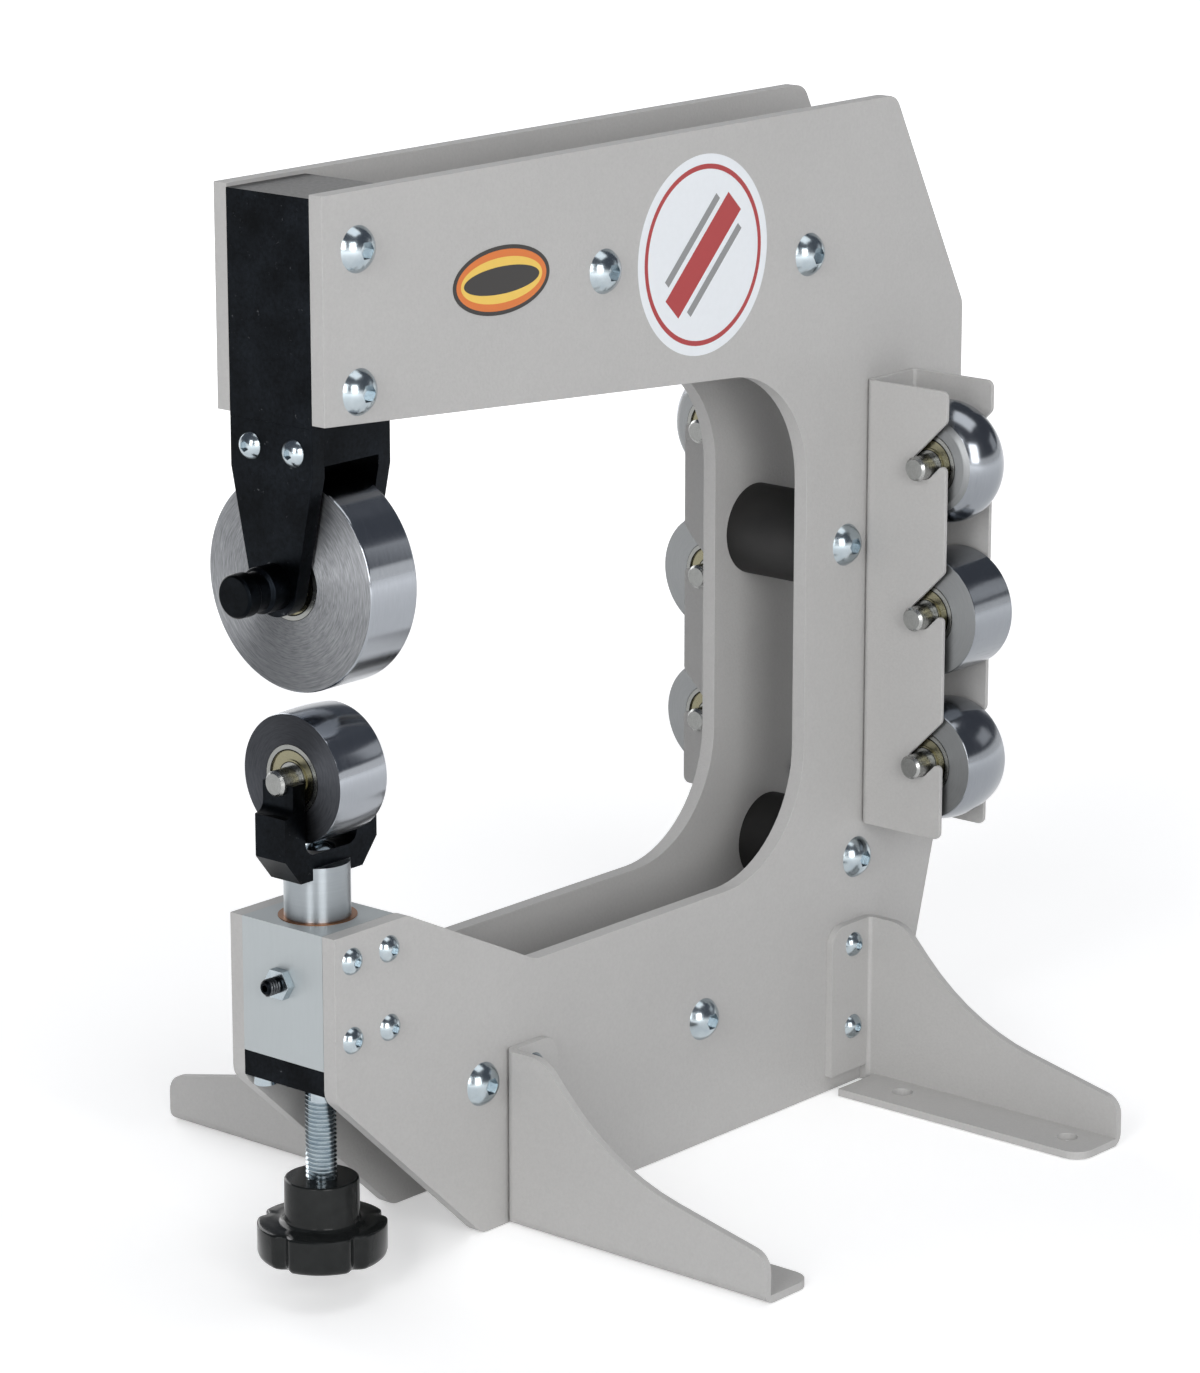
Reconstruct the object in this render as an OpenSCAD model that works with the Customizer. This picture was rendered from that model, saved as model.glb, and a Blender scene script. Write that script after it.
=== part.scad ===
// Bench-top english wheel: a C frame of two side plates carries a plain upper wheel on a yoke,
// a lower anvil wheel on a screw-lifted ram, and six spare anvils in two side racks.
// +Z is up, -X is the working end, the bench surface is z = 0.

/* [Side plates] */
// Height of the frame above the bench
frame_h = 416; // [380:1:460]
// Length of the side plates
plate_l = 384.5; // [380:0.5:396]
// Thickness of each side plate
plate_t = 6.35; // [5:0.05:8]
// Clear gap between the side plates
plate_gap = 41.275; // [40:0.025:46]
// Extra depth of the upper arm at the spine
arm_taper = 20.4; // [10:0.2:26]
// Depth of the throat from the front of the arm to the spine
throat_d = 280.8; // [274:0.2:284]
// Radius of the inner corners of the throat
throat_r = 50; // [40:1:56]
// Depth of the nose at its front
nose_h = 64; // [60:1:68]
// Height of the nose's top above the throat floor
ramp_h = 35; // [30:1:40]
// Distance from the front to where the nose ramp meets the throat floor
ramp_end_x = 114; // [100:1:130]
// Distance from the front to where the slanted underside meets the base
belly_x = 82; // [76:1:88]
// Distance from the front to the end of the base
base_end_x = 344.7; // [336:0.1:352]
// Length of the top edge
top_l = 337; // [326:1:346]
// Height of the corner at the top of the rear edge
back_top_z = 325; // [312:1:340]
// Height where the rear edge starts to lean in
back_low_z = 145; // [120:1:170]
// Radius of the outer corners
corner_r = 8; // [4:0.5:12]

/* [Spacers and screws] */
// Diameter of the round spacers between the plates
spacer_d = 38; // [30:1:42]
// Thread diameter of the frame screws
frame_screw_d = 10; // [8:0.5:11]
// Head diameter of the frame screws
frame_head_d = 17.5; // [15:0.25:19]
// Head height of the frame screws
frame_head_h = 5.5; // [4.5:0.25:6.5]
// Depth that the frame screws reach into a spacer
frame_screw_reach = 15; // [10:0.5:19]
// Thread diameter of the small screws
small_screw_d = 6; // [5:0.25:7]
// Head diameter of the small screws
small_head_d = 10.5; // [9:0.25:12]
// Head height of the small screws
small_head_h = 3.3; // [2.6:0.1:3.8]

/* [Head and yoke] */
// Length of the head block along the arm
head_l = 41.275; // [39:0.025:44]
// Depth of the head block's top below the plates' top edge
head_sink = 1.5; // [0.5:0.1:3]
// Reach of the head block below the arm's underside
head_proud = 1.5; // [0.5:0.1:3]
// Height of the tongue that the cheeks are screwed to
tongue_h = 14.5; // [13:0.5:17]
// Thickness of each yoke cheek
cheek_t = 6.35; // [5.5:0.05:6.8]
// Straight part of a cheek, from its top
cheek_straight = 18.5; // [15:0.5:22]
// Distance from the top of a cheek to the axle
cheek_drop = 61.4; // [60.4:0.1:66]
// Radius of the round end of a cheek
cheek_end_r = 11.3; // [10:0.1:13]

/* [Upper wheel] */
// Diameter of the upper wheel
upper_wheel_d = 82.55; // [78:0.05:84]
// Width of the upper wheel
upper_wheel_w = 25.4; // [23:0.1:26]
// Bore of the upper wheel's ball bearings
axle_d = 12; // [10:0.1:13]
// Outer diameter of the upper wheel's ball bearings
axle_bearing_d = 28; // [26:0.5:32]
// Length of the axle in front of the yoke
axle_grip_l = 20.8; // [16:0.2:26]
// Diameter of the axle's pull head
axle_head_d = 16.6; // [15:0.1:20]

/* [Anvils] */
// Diameter of the anvil wheels
anvil_d = 50.8; // [48:0.1:52]
// Width of the anvil wheels
anvil_w = 25.4; // [23:0.1:26]
// Width of each ball bearing
bearing_w = 8; // [6:0.5:9]
// Bore of the anvils' ball bearings
pin_bore_d = 10; // [9:0.1:10.6]
// Outer diameter of the anvils' ball bearings
anvil_bearing_d = 26; // [24:0.5:28]
// Length of an anvil pin
pin_l = 45; // [43.5:0.5:48]
// Crown radius of the anvil on the ram
ram_crown_r = 120; // [60:5:300]
// Crown radius of the rounded anvils in the upper rack slots
ball_crown_r = 14; // [13.5:0.5:20]
// Crown radius of the flatter anvils in the middle rack slots
flat_crown_r = 500; // [200:10:800]
// Crown radius of the anvils in the lower rack slots
low_crown_r = 38; // [28:1:60]
// Gap between the upper wheel and the anvil on the ram
working_gap = 8; // [5:0.5:12]

/* [Ram] */
// Diameter of the ram post
post_d = 25.4; // [23:0.1:26]
// Length of the ram post
post_l = 59; // [54:1:64]
// Gap between the guide block and the fork above it
ram_rise = 16.925; // [15.5:0.025:20]
// Outer diameter of the bronze bush
bush_d = 30; // [29:0.25:32]
// Length of the guide block along the frame
guide_l = 38.9; // [38:0.1:40.5]
// Thickness of the thrust plate under the guide block
thrust_t = 10; // [8:0.5:12]
// Width of the fork across the frame
fork_w = 15.5; // [14.5:0.25:18]
// Clearance between an anvil and each fork arm
fork_side_gap = 1.2; // [0.8:0.1:2]
// Thickness of the upper part of a fork arm
fork_arm_t = 6.35; // [5:0.05:7]
// Step from the fork arm out to the fork's shoulder
fork_step = 4.4; // [3:0.1:5.5]
// Thickness of the fork's floor
fork_floor_t = 10; // [9:0.5:12]
// Height from the fork's floor up to the shoulder
fork_shoulder_h = 16.5; // [14:0.5:19]
// Gap between the anvil on the ram and the fork's floor
fork_floor_gap = 3.1; // [2.4:0.1:4.5]
// Depth that the post sits in the fork
post_seat_h = 4.5; // [3:0.5:6]

/* [Adjuster] */
// Diameter of the adjuster screw
adjuster_d = 12; // [10:0.5:14]
// Free length of the adjuster screw between the ram post and the knob
adjuster_l = 68; // [66:1:70]
// Diameter of the hand knob over its lobes
knob_d = 50; // [44:1:56]
// Height of the lobed part of the knob
knob_grip_h = 14.5; // [12:0.5:16]
// Diameter of the knob's hub
hub_d = 28.6; // [24:0.2:34]
// Height of the knob's hub
hub_h = 16.5; // [14:0.5:18]

/* [Feet] */
// Thickness of the foot sheet
foot_t = 3.2; // [2.5:0.1:4]
// Height of the feet
foot_h = 72; // [68:1:76]
// Length of a foot outward from the plate
foot_l = 130.6; // [120:0.2:145]
// Width of the foot flanges
foot_w = 28.6; // [26:0.2:31]
// Height of a foot's outer end
foot_tip_h = 19.3; // [16:0.1:24]
// Distance from the front to the front feet
front_foot_x = 94.8; // [93.4:0.2:98]
// Distance from the front to the back of the rear feet
rear_foot_x = 326.2; // [322:0.2:332]
// Diameter of the bench bolt holes
bench_hole_d = 8.8; // [6:0.2:11]
// Distance from a plate to the inner bench bolt holes
inner_hole_d = 30; // [24:0.5:40]
// Distance from a plate to the outer bench bolt holes
outer_hole_d = 114; // [100:0.5:118]

/* [Anvil racks] */
// Thickness of the rack sheet
rack_t = 2; // [1.5:0.1:2.4]
// Clearance between a spare anvil and each rack flange
rack_side_gap = 1.6; // [1.2:0.1:2.2]
// Distance from the front to the racks
rack_x = 318.8; // [316:0.2:322]
// Height of the racks' lower end
rack_low_z = 113.4; // [111.4:0.2:120]
// Height of a rack
rack_h = 188.2; // [186:0.2:194]
// Distance from the plate to a rack's outer edge
rack_d = 41.3; // [39:0.1:44]
// Distance from the plate to the slot ends
slot_end_d = 30; // [29:0.1:31.5]
// Height of the lowest slot's end above the rack's lower end
slot_low_h = 31; // [30:0.1:33]
// Distance from slot to slot
slot_pitch = 62.7; // [60:0.1:63.5]
// Width of the slots
slot_w = 11.2; // [11:0.1:12]
// Slope of the slots
slot_angle = 45; // [40:1:50]

/* [Hidden] */
$fn = 64;

// Angle covered by one chord of a large rounded corner
arc_step = 5;
// Largest corner radius that is drawn with three times that angle
small_corner_r = 10;
// Distance that a cut runs past the face it opens
overrun = 1;
// Radial clearance of a screw or a seated piece in its hole
seat_clear = 0.05;
// Radial clearance of a shaft that turns or slides
run_clear = 0.02;
// Clearance between pieces that pass without touching
pass_clear = 0.3;

// Colours
powder_grey = "#b5b3af";
black_oxide = "#1d2125";
zinc_plate = "#c3cace";
polished_steel = "#a9adb2";
bearing_steel = "#b9b48f";
bronze = "#a56f3e";
bare_aluminium = "#b9bec0";
gloss_black = "#15181a";

// Places along the frame
axis_x = head_l / 2;
origin_x = (front_foot_x + rear_foot_x) / 2;
plate_y = plate_gap / 2;
outer_y = plate_y + plate_t;
nose_x = axis_x - guide_l / 2;

// Heights: the ram, the wheels and the yoke take their own, the nose and the upper arm share the rest
work_h = ram_rise + fork_floor_t + fork_floor_gap + anvil_d + working_gap + upper_wheel_d / 2 + cheek_drop;
nose_share = 0.619154;
nose_top_z = (frame_h - work_h) * nose_share;
nose_low_z = nose_top_z - nose_h;
throat_floor_z = nose_top_z - ramp_h;
head_low_z = nose_top_z + work_h;
head_top_z = frame_h - head_sink;
head_h = head_top_z - head_low_z;
arm_low_z = head_low_z + head_proud;
arm_h = frame_h - arm_low_z;
throat_h = arm_low_z - throat_floor_z;

// Screws: [thread diameter, head diameter, head height]
frame_screw = [frame_screw_d, frame_head_d, frame_head_h];
small_screw = [small_screw_d, small_head_d, small_head_h];
fork_screw_size = [8, 14, 4.4];
frame_hole_d = frame_screw_d + 2 * seat_clear;
small_hole_d = small_screw_d + 2 * seat_clear;
socket_share = 0.62;
socket_depth_share = 0.56;

// Spacer places: two in the arm, one before the rack, one between rack and rear foot, two in the base
arm_spacer_shares = [[0.552, 0.431], [1, 0.31]];
spine_spacer_share = 0.572;
heel_spacer_shares = [0.671, 0.65];
base_spacer_shares = [0.527, 0.51];
front_spacer_share = 0.588;
spacer_rack_gap = 2.75;
spacer_foot_gap = 3.45;
spacer_places = [
    for (s = arm_spacer_shares) [s.x * throat_d, arm_low_z + s.y * arm_h],
    [rack_x - spacer_rack_gap - frame_head_d / 2, throat_floor_z + spine_spacer_share * throat_h],
    [
        rear_foot_x + (heel_spacer_shares.x - 1) * foot_w,
        foot_h + heel_spacer_shares.y * (rack_low_z - foot_h),
    ],
    [
        front_foot_x + base_spacer_shares.x * (rear_foot_x - front_foot_x),
        base_spacer_shares.y * throat_floor_z,
    ],
    [front_foot_x - spacer_foot_gap - frame_head_d / 2, front_spacer_share * throat_floor_z],
];

// Head block, yoke and upper wheel
head_screw_shares = [0.143, 0.764];
head_screw_places = [for (s = head_screw_shares) [0.446 * head_l, head_low_z + s * head_h]];
axle_z = head_low_z - cheek_drop;
cheek_screw_y = plate_gap * 0.264;
cheek_screw_z = head_low_z - tongue_h * 0.68;
cheek_screw_reach = 11;
axle_shaft_d = axle_d - 2 * run_clear;
axle_collar_d = axle_head_d * 1.06;
axle_collar_l = axle_grip_l * 0.38;
axle_neck_d = axle_head_d * 0.88;
axle_head_l = axle_grip_l * 0.3;
axle_tail_l = 2;
axle_chamfer = 0.8;
wheel_edge = 0.8;

// Anvil on the ram, fork and post
ram_anvil_z = axle_z - upper_wheel_d / 2 - working_gap - anvil_d / 2;
pin_d = pin_bore_d - 2 * run_clear;
pin_chamfer = 1;
fork_floor_z = ram_anvil_z - anvil_d / 2 - fork_floor_gap;
fork_low_z = fork_floor_z - fork_floor_t;
fork_gap = anvil_w + 2 * fork_side_gap;
fork_shoulder_l = fork_gap / 2 + fork_arm_t + fork_step;
fork_chamfer_l = 8;
fork_chamfer_h = 10;
fork_inner_r = 5;
fork_screw_sink = 2.5;
fork_screw_l = 24;
post_top_z = fork_low_z + post_seat_h;
post_low_z = post_top_z - post_l;
post_chamfer = 1;
key_w = 4.2;
key_l = 31;
key_depth = 2.5;
key_margin = 4;

// Guide block, bush and thrust plate
thrust_inset = 1;
thrust_low_z = nose_low_z + thrust_inset;
guide_low_z = thrust_low_z + thrust_t;
guide_h = nose_top_z - guide_low_z;
guide_screw_shares = [[0.24, 0.216], [0.76, 0.216], [0.24, 0.8], [0.76, 0.8]];
guide_screw_places = [for (s = guide_screw_shares) [nose_x + s.x * guide_l, guide_low_z + s.y * guide_h]];
guide_screw_reach = 4.5;
bush_proud = 0.3;
bush_lift = 6;
key_z = guide_low_z + guide_h * 0.58;
key_screw_out = 9.6;
key_point_d = 3.9;
key_nut_af = 11.1;
key_nut_t = 3.6;
thrust_screw_x = guide_l * 0.373;
thrust_screw_y = plate_gap * 0.36;
thrust_screw_d = 5;
thrust_screw_reach = 6.5;
thrust_head_d = 8.5;
thrust_head_h = 3.5;
thrust_hole_d = thrust_screw_d + 2 * seat_clear;

// Adjuster screw and knob
adjuster_top_z = post_low_z - seat_clear;
knob_top_z = adjuster_top_z - adjuster_l;
knob_lobes = 5;
knob_lobe_share = 0.58;
knob_groove = knob_d * 0.055;
knob_step = 3;
knob_turn = 184.5;
knob_hold_share = 0.75;
adjuster_chamfer = 1.2;

// Feet
foot_bend_r = 4.8;
foot_inner_r = 1.6;
foot_relief = 7;
foot_top_l = 20;
foot_knee_l = 54;
foot_knee_h = 36;
foot_sweep_r = 105;
foot_shoulder_r = 14;
foot_tip_r = 8;
foot_screw_shares = [0.365, 0.867];
front_flange_x = front_foot_x + foot_w / 2;
rear_flange_x = rear_foot_x - foot_w / 2;
foot_screw_places = [for (x = [front_flange_x, rear_flange_x], s = foot_screw_shares) [x, s * foot_h]];

// Racks
rack_w = anvil_w + 2 * (rack_side_gap + rack_t);
rack_mid_x = rack_x + rack_w / 2;
rack_bend_r = 3.4;
rack_inner_r = 1.4;
rack_corner_r = 3;
rack_lip_r = 2;
rack_screw_in = 11.7;
rack_screw_tip = 2;
rack_screw_places = [for (z = [rack_screw_in, rack_h - rack_screw_in]) [rack_mid_x, rack_low_z + z]];
slot_seat_gap = 0.1;
seat_d = slot_w + 2 * seat_clear;
slot_count = 3;
right = -1;
left = 1;

// Point turned about the origin
function turned(v, angle) = [v.x * cos(angle) - v.y * sin(angle), v.x * sin(angle) + v.y * cos(angle)];

// Plain position of point i of a closed outline
function place(points, i) =
    let (p = points[(i + len(points)) % len(points)])
    [p[0], p[1]];

// Points that round corner p between its neighbours a and b
function corner_arc(a, p, b, r) =
    r == 0 ? [p] :
    let (to_a = (a - p) / norm(a - p), to_b = (b - p) / norm(b - p))
    let (half = acos(to_a * to_b) / 2, sweep = 180 - 2 * half)
    let (centre = p + (to_a + to_b) / norm(to_a + to_b) * r / sin(half))
    let (start = p + to_a * r / tan(half) - centre)
    let (side = sign(cross(p - a, b - p)), step = r > small_corner_r ? arc_step : 3 * arc_step)
    let (steps = ceil(sweep / step))
    [for (i = [0:steps]) centre + turned(start, side * sweep * i / steps)];

// Outline of [x, y, corner radius] points, with its corners rounded
function rounded(points) = [
    for (i = [0:len(points) - 1])
        each corner_arc(place(points, i - 1), place(points, i), place(points, i + 1), points[i][2])
];

// Moves the frame from the front edge of the plates to the part's origin
module placed() {
    translate([-origin_x, 0, 0])
        children();
}

// Puts a shape drawn for the right side on either side
module on_side(side) {
    mirror([0, side == left ? 1 : 0, 0])
        children();
}

// Extrudes an outline of length and height from y = 0 outward to the right
module side_extrude(t) {
    rotate([90, 0, 0])
        linear_extrude(t)
            children();
}

// Extrudes an outline of distance from the plate and height along the frame
module cross_extrude(l) {
    rotate([90, 0, -90])
        mirror([0, 0, 1])
            linear_extrude(l)
                children();
}

// Round holes across the frame at places of length and height
module side_holes(places, d, reach) {
    for (p = places)
        translate([p.x, 0, p.y])
            rotate([90, 0, 0])
                cylinder(d = d, h = reach);
}

// Button-head screw: its seat at z = 0, its thread along +Z
module button_screw(size, l) {
    head_r = size[1] / 2;
    dome_r = (size[2] * size[2] + head_r * head_r) / (2 * size[2]);
    socket_d = size[0] * socket_share / cos(30);
    socket_h = size[2] * socket_depth_share;
    difference() {
        union() {
            intersection() {
                translate([0, 0, dome_r - size[2]])
                    sphere(r = dome_r);
                translate([0, 0, -size[2] - overrun])
                    cylinder(d = size[1] + overrun, h = size[2] + overrun);
            }
            translate([0, 0, socket_h - size[2]])
                cylinder(d = size[0], h = l + size[2] - socket_h);
        }
        translate([0, 0, -size[2] - overrun])
            cylinder(d = socket_d, h = socket_h + overrun, $fn = 6);
    }
}

// Button-head screws driven into the right side of the frame, seated at distance seat from the middle
module side_screws(places, size, seat, l) {
    for (p = places)
        translate([p.x, -seat, p.y])
            rotate([-90, 0, 0])
                button_screw(size, l);
}

// Turned piece along +X from a list of [distance, diameter] steps
module turned_along_x(steps) {
    profile = concat([[0, steps[0][0]]], [for (s = steps) [s[1] / 2, s[0]]], [[0, steps[len(steps) - 1][0]]]);
    rotate([0, 90, 0])
        rotate_extrude()
            polygon(profile);
}

// Straight pin along X, centred, with chamfered ends
module pin(d, l, chamfer) {
    turned_along_x([
        [-l / 2, d - 2 * chamfer], [chamfer - l / 2, d],
        [l / 2 - chamfer, d], [l / 2, d - 2 * chamfer],
    ]);
}

// Wheel on the X axis with a bearing seat at each side and a crowned rim
module wheel(d, w, bearing_d, crown_r) {
    shoulder_d = bearing_d * 0.8;
    rotate([0, 90, 0])
        difference() {
            rotate_extrude()
                intersection() {
                    translate([shoulder_d / 2, -w / 2])
                        square([(d - shoulder_d) / 2, w]);
                    translate([d / 2 - crown_r, 0])
                        circle(r = crown_r, $fn = 180);
                }
            for (side = [-1, 1])
                translate([0, 0, side * (w / 2 - bearing_w / 2 + overrun / 2)])
                    cylinder(d = bearing_d + 2 * seat_clear, h = bearing_w + overrun, center = true);
        }
}

// Ball bearing on the X axis with a shield sunk between its rings, one solid
module bearing(bore_d, d) {
    ring = (d - bore_d) * 0.14;
    sink = bearing_w * 0.06;
    rotate([0, 90, 0])
        difference() {
            cylinder(d = d, h = bearing_w, center = true);
            cylinder(d = bore_d, h = bearing_w + overrun, center = true);
            for (side = [-1, 1])
                translate([0, 0, side * (bearing_w / 2 - sink / 2 + overrun / 2)])
                    difference() {
                        cylinder(d = d - 2 * ring, h = sink + overrun, center = true);
                        cylinder(d = bore_d + 2 * ring, h = sink + 2 * overrun, center = true);
                    }
        }
}

// Pair of bearings flush with the sides of a wheel of width w
module bearing_pair(bore_d, d, w) {
    for (side = [-1, 1])
        translate([side * (w - bearing_w) / 2, 0, 0])
            bearing(bore_d, d);
}

// Side plate, seen from the side
module plate_outline() {
    polygon(rounded([
        [belly_x, 0, corner_r],
        [base_end_x, 0, 0],
        [plate_l, back_low_z, corner_r],
        [plate_l, back_top_z, corner_r],
        [top_l, frame_h, corner_r],
        [0, frame_h, 0],
        [0, arm_low_z, 0],
        [throat_d, arm_low_z - arm_taper, throat_r],
        [throat_d, throat_floor_z, throat_r],
        [ramp_end_x, throat_floor_z, corner_r],
        [head_l, nose_top_z, corner_r],
        [nose_x, nose_top_z, 0],
        [nose_x, nose_low_z, corner_r],
    ]));
}

module side_plate(side) {
    color(powder_grey)
        placed()
            on_side(side)
                translate([0, -plate_y, 0])
                    difference() {
                        side_extrude(plate_t)
                            plate_outline();
                        translate([0, overrun, 0]) {
                            reach = plate_t + 2 * overrun;
                            side_holes(spacer_places, frame_hole_d, reach);
                            side_holes(head_screw_places, frame_hole_d, reach);
                            side_holes(guide_screw_places, small_hole_d, reach);
                            side_holes(foot_screw_places, small_hole_d, reach);
                            side_holes(rack_screw_places, small_hole_d, reach);
                        }
                    }
}

module frame_spacers() {
    color(black_oxide)
        placed()
            for (p = spacer_places)
                translate([p.x, 0, p.y])
                    rotate([90, 0, 0])
                        difference() {
                            cylinder(d = spacer_d, h = plate_gap, center = true);
                            cylinder(d = frame_hole_d, h = plate_gap + overrun, center = true);
                        }
}

module frame_screws(side) {
    color(zinc_plate)
        placed()
            on_side(side)
                side_screws(
                    concat(spacer_places, head_screw_places),
                    frame_screw,
                    outer_y,
                    plate_t + frame_screw_reach);
}

// Head block with a tongue below for the yoke cheeks
module head_block() {
    tongue_z = head_low_z - tongue_h;
    color(black_oxide)
        placed()
            difference() {
                translate([0, plate_y, 0])
                    side_extrude(plate_gap)
                        polygon([
                            [0, head_low_z], [cheek_t, head_low_z],
                            [cheek_t, tongue_z], [head_l - cheek_t, tongue_z],
                            [head_l - cheek_t, head_low_z], [head_l, head_low_z],
                            [head_l, head_top_z], [0, head_top_z],
                        ]);
                translate([0, plate_y + overrun, 0])
                    side_holes(head_screw_places, frame_hole_d, plate_gap + 2 * overrun);
                for (y = [-cheek_screw_y, cheek_screw_y])
                    translate([0, y, cheek_screw_z])
                        rotate([0, 90, 0])
                            cylinder(d = small_hole_d, h = head_l);
            }
}

// Points of the round lower end of a cheek, between its two slanted edges
function cheek_end() =
    let (reach = norm([plate_y, cheek_drop - cheek_straight]))
    let (first = atan2(cheek_drop - cheek_straight, plate_y) - acos(cheek_end_r / reach))
    let (steps = ceil((180 - 2 * first) / arc_step))
    [for (i = [0:steps])
        let (angle = first - (180 + 2 * first) * i / steps)
        [cheek_end_r * cos(angle), axle_z + cheek_end_r * sin(angle)]];

module cheek() {
    difference() {
        rotate([90, 0, 90])
            linear_extrude(cheek_t)
                polygon(concat(
                    [[-plate_y, head_low_z - cheek_straight], [-plate_y, head_low_z]],
                    [[plate_y, head_low_z], [plate_y, head_low_z - cheek_straight]],
                    cheek_end()));
        translate([-overrun, 0, axle_z])
            rotate([0, 90, 0])
                cylinder(d = axle_d + 2 * seat_clear, h = cheek_t + 2 * overrun);
        for (y = [-cheek_screw_y, cheek_screw_y])
            translate([-overrun, y, cheek_screw_z])
                rotate([0, 90, 0])
                    cylinder(d = small_hole_d, h = cheek_t + 2 * overrun);
    }
}

module front_cheek() {
    color(black_oxide)
        placed()
            cheek();
}

module rear_cheek() {
    color(black_oxide)
        placed()
            translate([head_l - cheek_t, 0, 0])
                cheek();
}

module cheek_screw_pair() {
    for (y = [-cheek_screw_y, cheek_screw_y])
        translate([0, y, cheek_screw_z])
            rotate([0, 90, 0])
                button_screw(small_screw, cheek_t + cheek_screw_reach);
}

module front_cheek_screws() {
    color(zinc_plate)
        placed()
            cheek_screw_pair();
}

module rear_cheek_screws() {
    color(zinc_plate)
        placed()
            translate([head_l, 0, 0])
                mirror([1, 0, 0])
                    cheek_screw_pair();
}

// Guide block between the noses of the plates
module guide_block() {
    color(bare_aluminium)
        placed()
            difference() {
                translate([nose_x, -plate_y, guide_low_z])
                    cube([guide_l, plate_gap, guide_h]);
                translate([axis_x, 0, guide_low_z - overrun])
                    cylinder(d = bush_d, h = guide_h + 2 * overrun);
                translate([0, plate_y + overrun, 0])
                    side_holes(guide_screw_places, small_hole_d, guide_screw_reach + 2 * overrun);
                translate([0, -plate_y + guide_screw_reach + overrun, 0])
                    side_holes(guide_screw_places, small_hole_d, guide_screw_reach + 2 * overrun);
                translate([nose_x - overrun, 0, key_z])
                    rotate([0, 90, 0])
                        cylinder(d = small_hole_d, h = guide_l / 2);
                thrust_screw_holes();
            }
}

module thrust_screw_holes() {
    for (x = [-thrust_screw_x, thrust_screw_x], y = [-thrust_screw_y, thrust_screw_y])
        translate([axis_x + x, y, thrust_low_z - overrun])
            cylinder(d = thrust_hole_d, h = thrust_t + thrust_screw_reach + 2 * overrun);
}

// Bronze bush that the ram post slides in
module guide_bush() {
    low_z = guide_low_z + bush_lift;
    color(bronze)
        placed()
            difference() {
                translate([axis_x, 0, low_z])
                    cylinder(d = bush_d - 2 * run_clear, h = guide_h - bush_lift + bush_proud);
                translate([axis_x, 0, low_z - overrun])
                    cylinder(d = post_d + 2 * run_clear, h = guide_h + 2 * overrun);
                translate([nose_x, 0, key_z])
                    rotate([0, 90, 0])
                        cylinder(d = small_hole_d, h = guide_l / 2);
            }
}

module guide_screws(side) {
    color(zinc_plate)
        placed()
            on_side(side)
                side_screws(guide_screw_places, small_screw, outer_y, plate_t + guide_screw_reach);
}

// Plate under the guide block that the adjuster screw runs in
module thrust_plate() {
    color(black_oxide)
        placed()
            difference() {
                translate([nose_x, -plate_y, thrust_low_z])
                    cube([guide_l, plate_gap, thrust_t]);
                translate([axis_x, 0, thrust_low_z - overrun])
                    cylinder(d = adjuster_d + 2 * seat_clear, h = thrust_t + 2 * overrun);
                thrust_screw_holes();
            }
}

module thrust_plate_screws() {
    color(zinc_plate)
        placed()
            for (x = [-thrust_screw_x, thrust_screw_x], y = [-thrust_screw_y, thrust_screw_y])
                translate([axis_x + x, y, thrust_low_z])
                    difference() {
                        union() {
                            cylinder(d = thrust_screw_d, h = thrust_t + thrust_screw_reach);
                            translate([0, 0, -thrust_head_h])
                                cylinder(d = thrust_head_d, h = thrust_head_h);
                        }
                        translate([0, 0, -thrust_head_h - overrun])
                            cylinder(
                                d = thrust_screw_d * socket_share / cos(30),
                                h = thrust_head_h * socket_depth_share + overrun,
                                $fn = 6);
                    }
}

// Set screw whose point keeps the ram post from turning
module key_set_screw() {
    point_x = axis_x - post_d / 2 + key_depth - pass_clear;
    color(black_oxide)
        placed()
            translate([0, 0, key_z])
                difference() {
                    turned_along_x([
                        [nose_x - key_screw_out, small_screw_d - 2 * axle_chamfer],
                        [nose_x - key_screw_out + axle_chamfer, small_screw_d],
                        [axis_x - post_d / 2 - pass_clear, small_screw_d],
                        [axis_x - post_d / 2 - pass_clear, key_point_d],
                        [point_x, key_point_d],
                    ]);
                    translate([nose_x - key_screw_out - overrun, 0, 0])
                        rotate([0, 90, 0])
                            cylinder(d = small_screw_d / 2, h = small_screw_d / 2 + overrun, $fn = 6);
                }
}

module key_jam_nut() {
    color(zinc_plate)
        placed()
            translate([nose_x - key_nut_t, 0, key_z])
                rotate([0, 90, 0])
                    difference() {
                        rotate([0, 0, 30])
                            cylinder(d = key_nut_af / cos(30), h = key_nut_t, $fn = 6);
                        translate([0, 0, -overrun])
                            cylinder(d = small_hole_d, h = key_nut_t + 2 * overrun);
                    }
}

// Web of a foot: distance from the plate and height
module foot_web_outline() {
    polygon(rounded([
        [0, 0, 0],
        [foot_l, 0, 0],
        [foot_l, foot_tip_h, foot_tip_r],
        [foot_knee_l, foot_knee_h, foot_sweep_r],
        [foot_top_l, foot_h, foot_shoulder_r],
        [0, foot_h, 0],
    ]));
}

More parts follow.
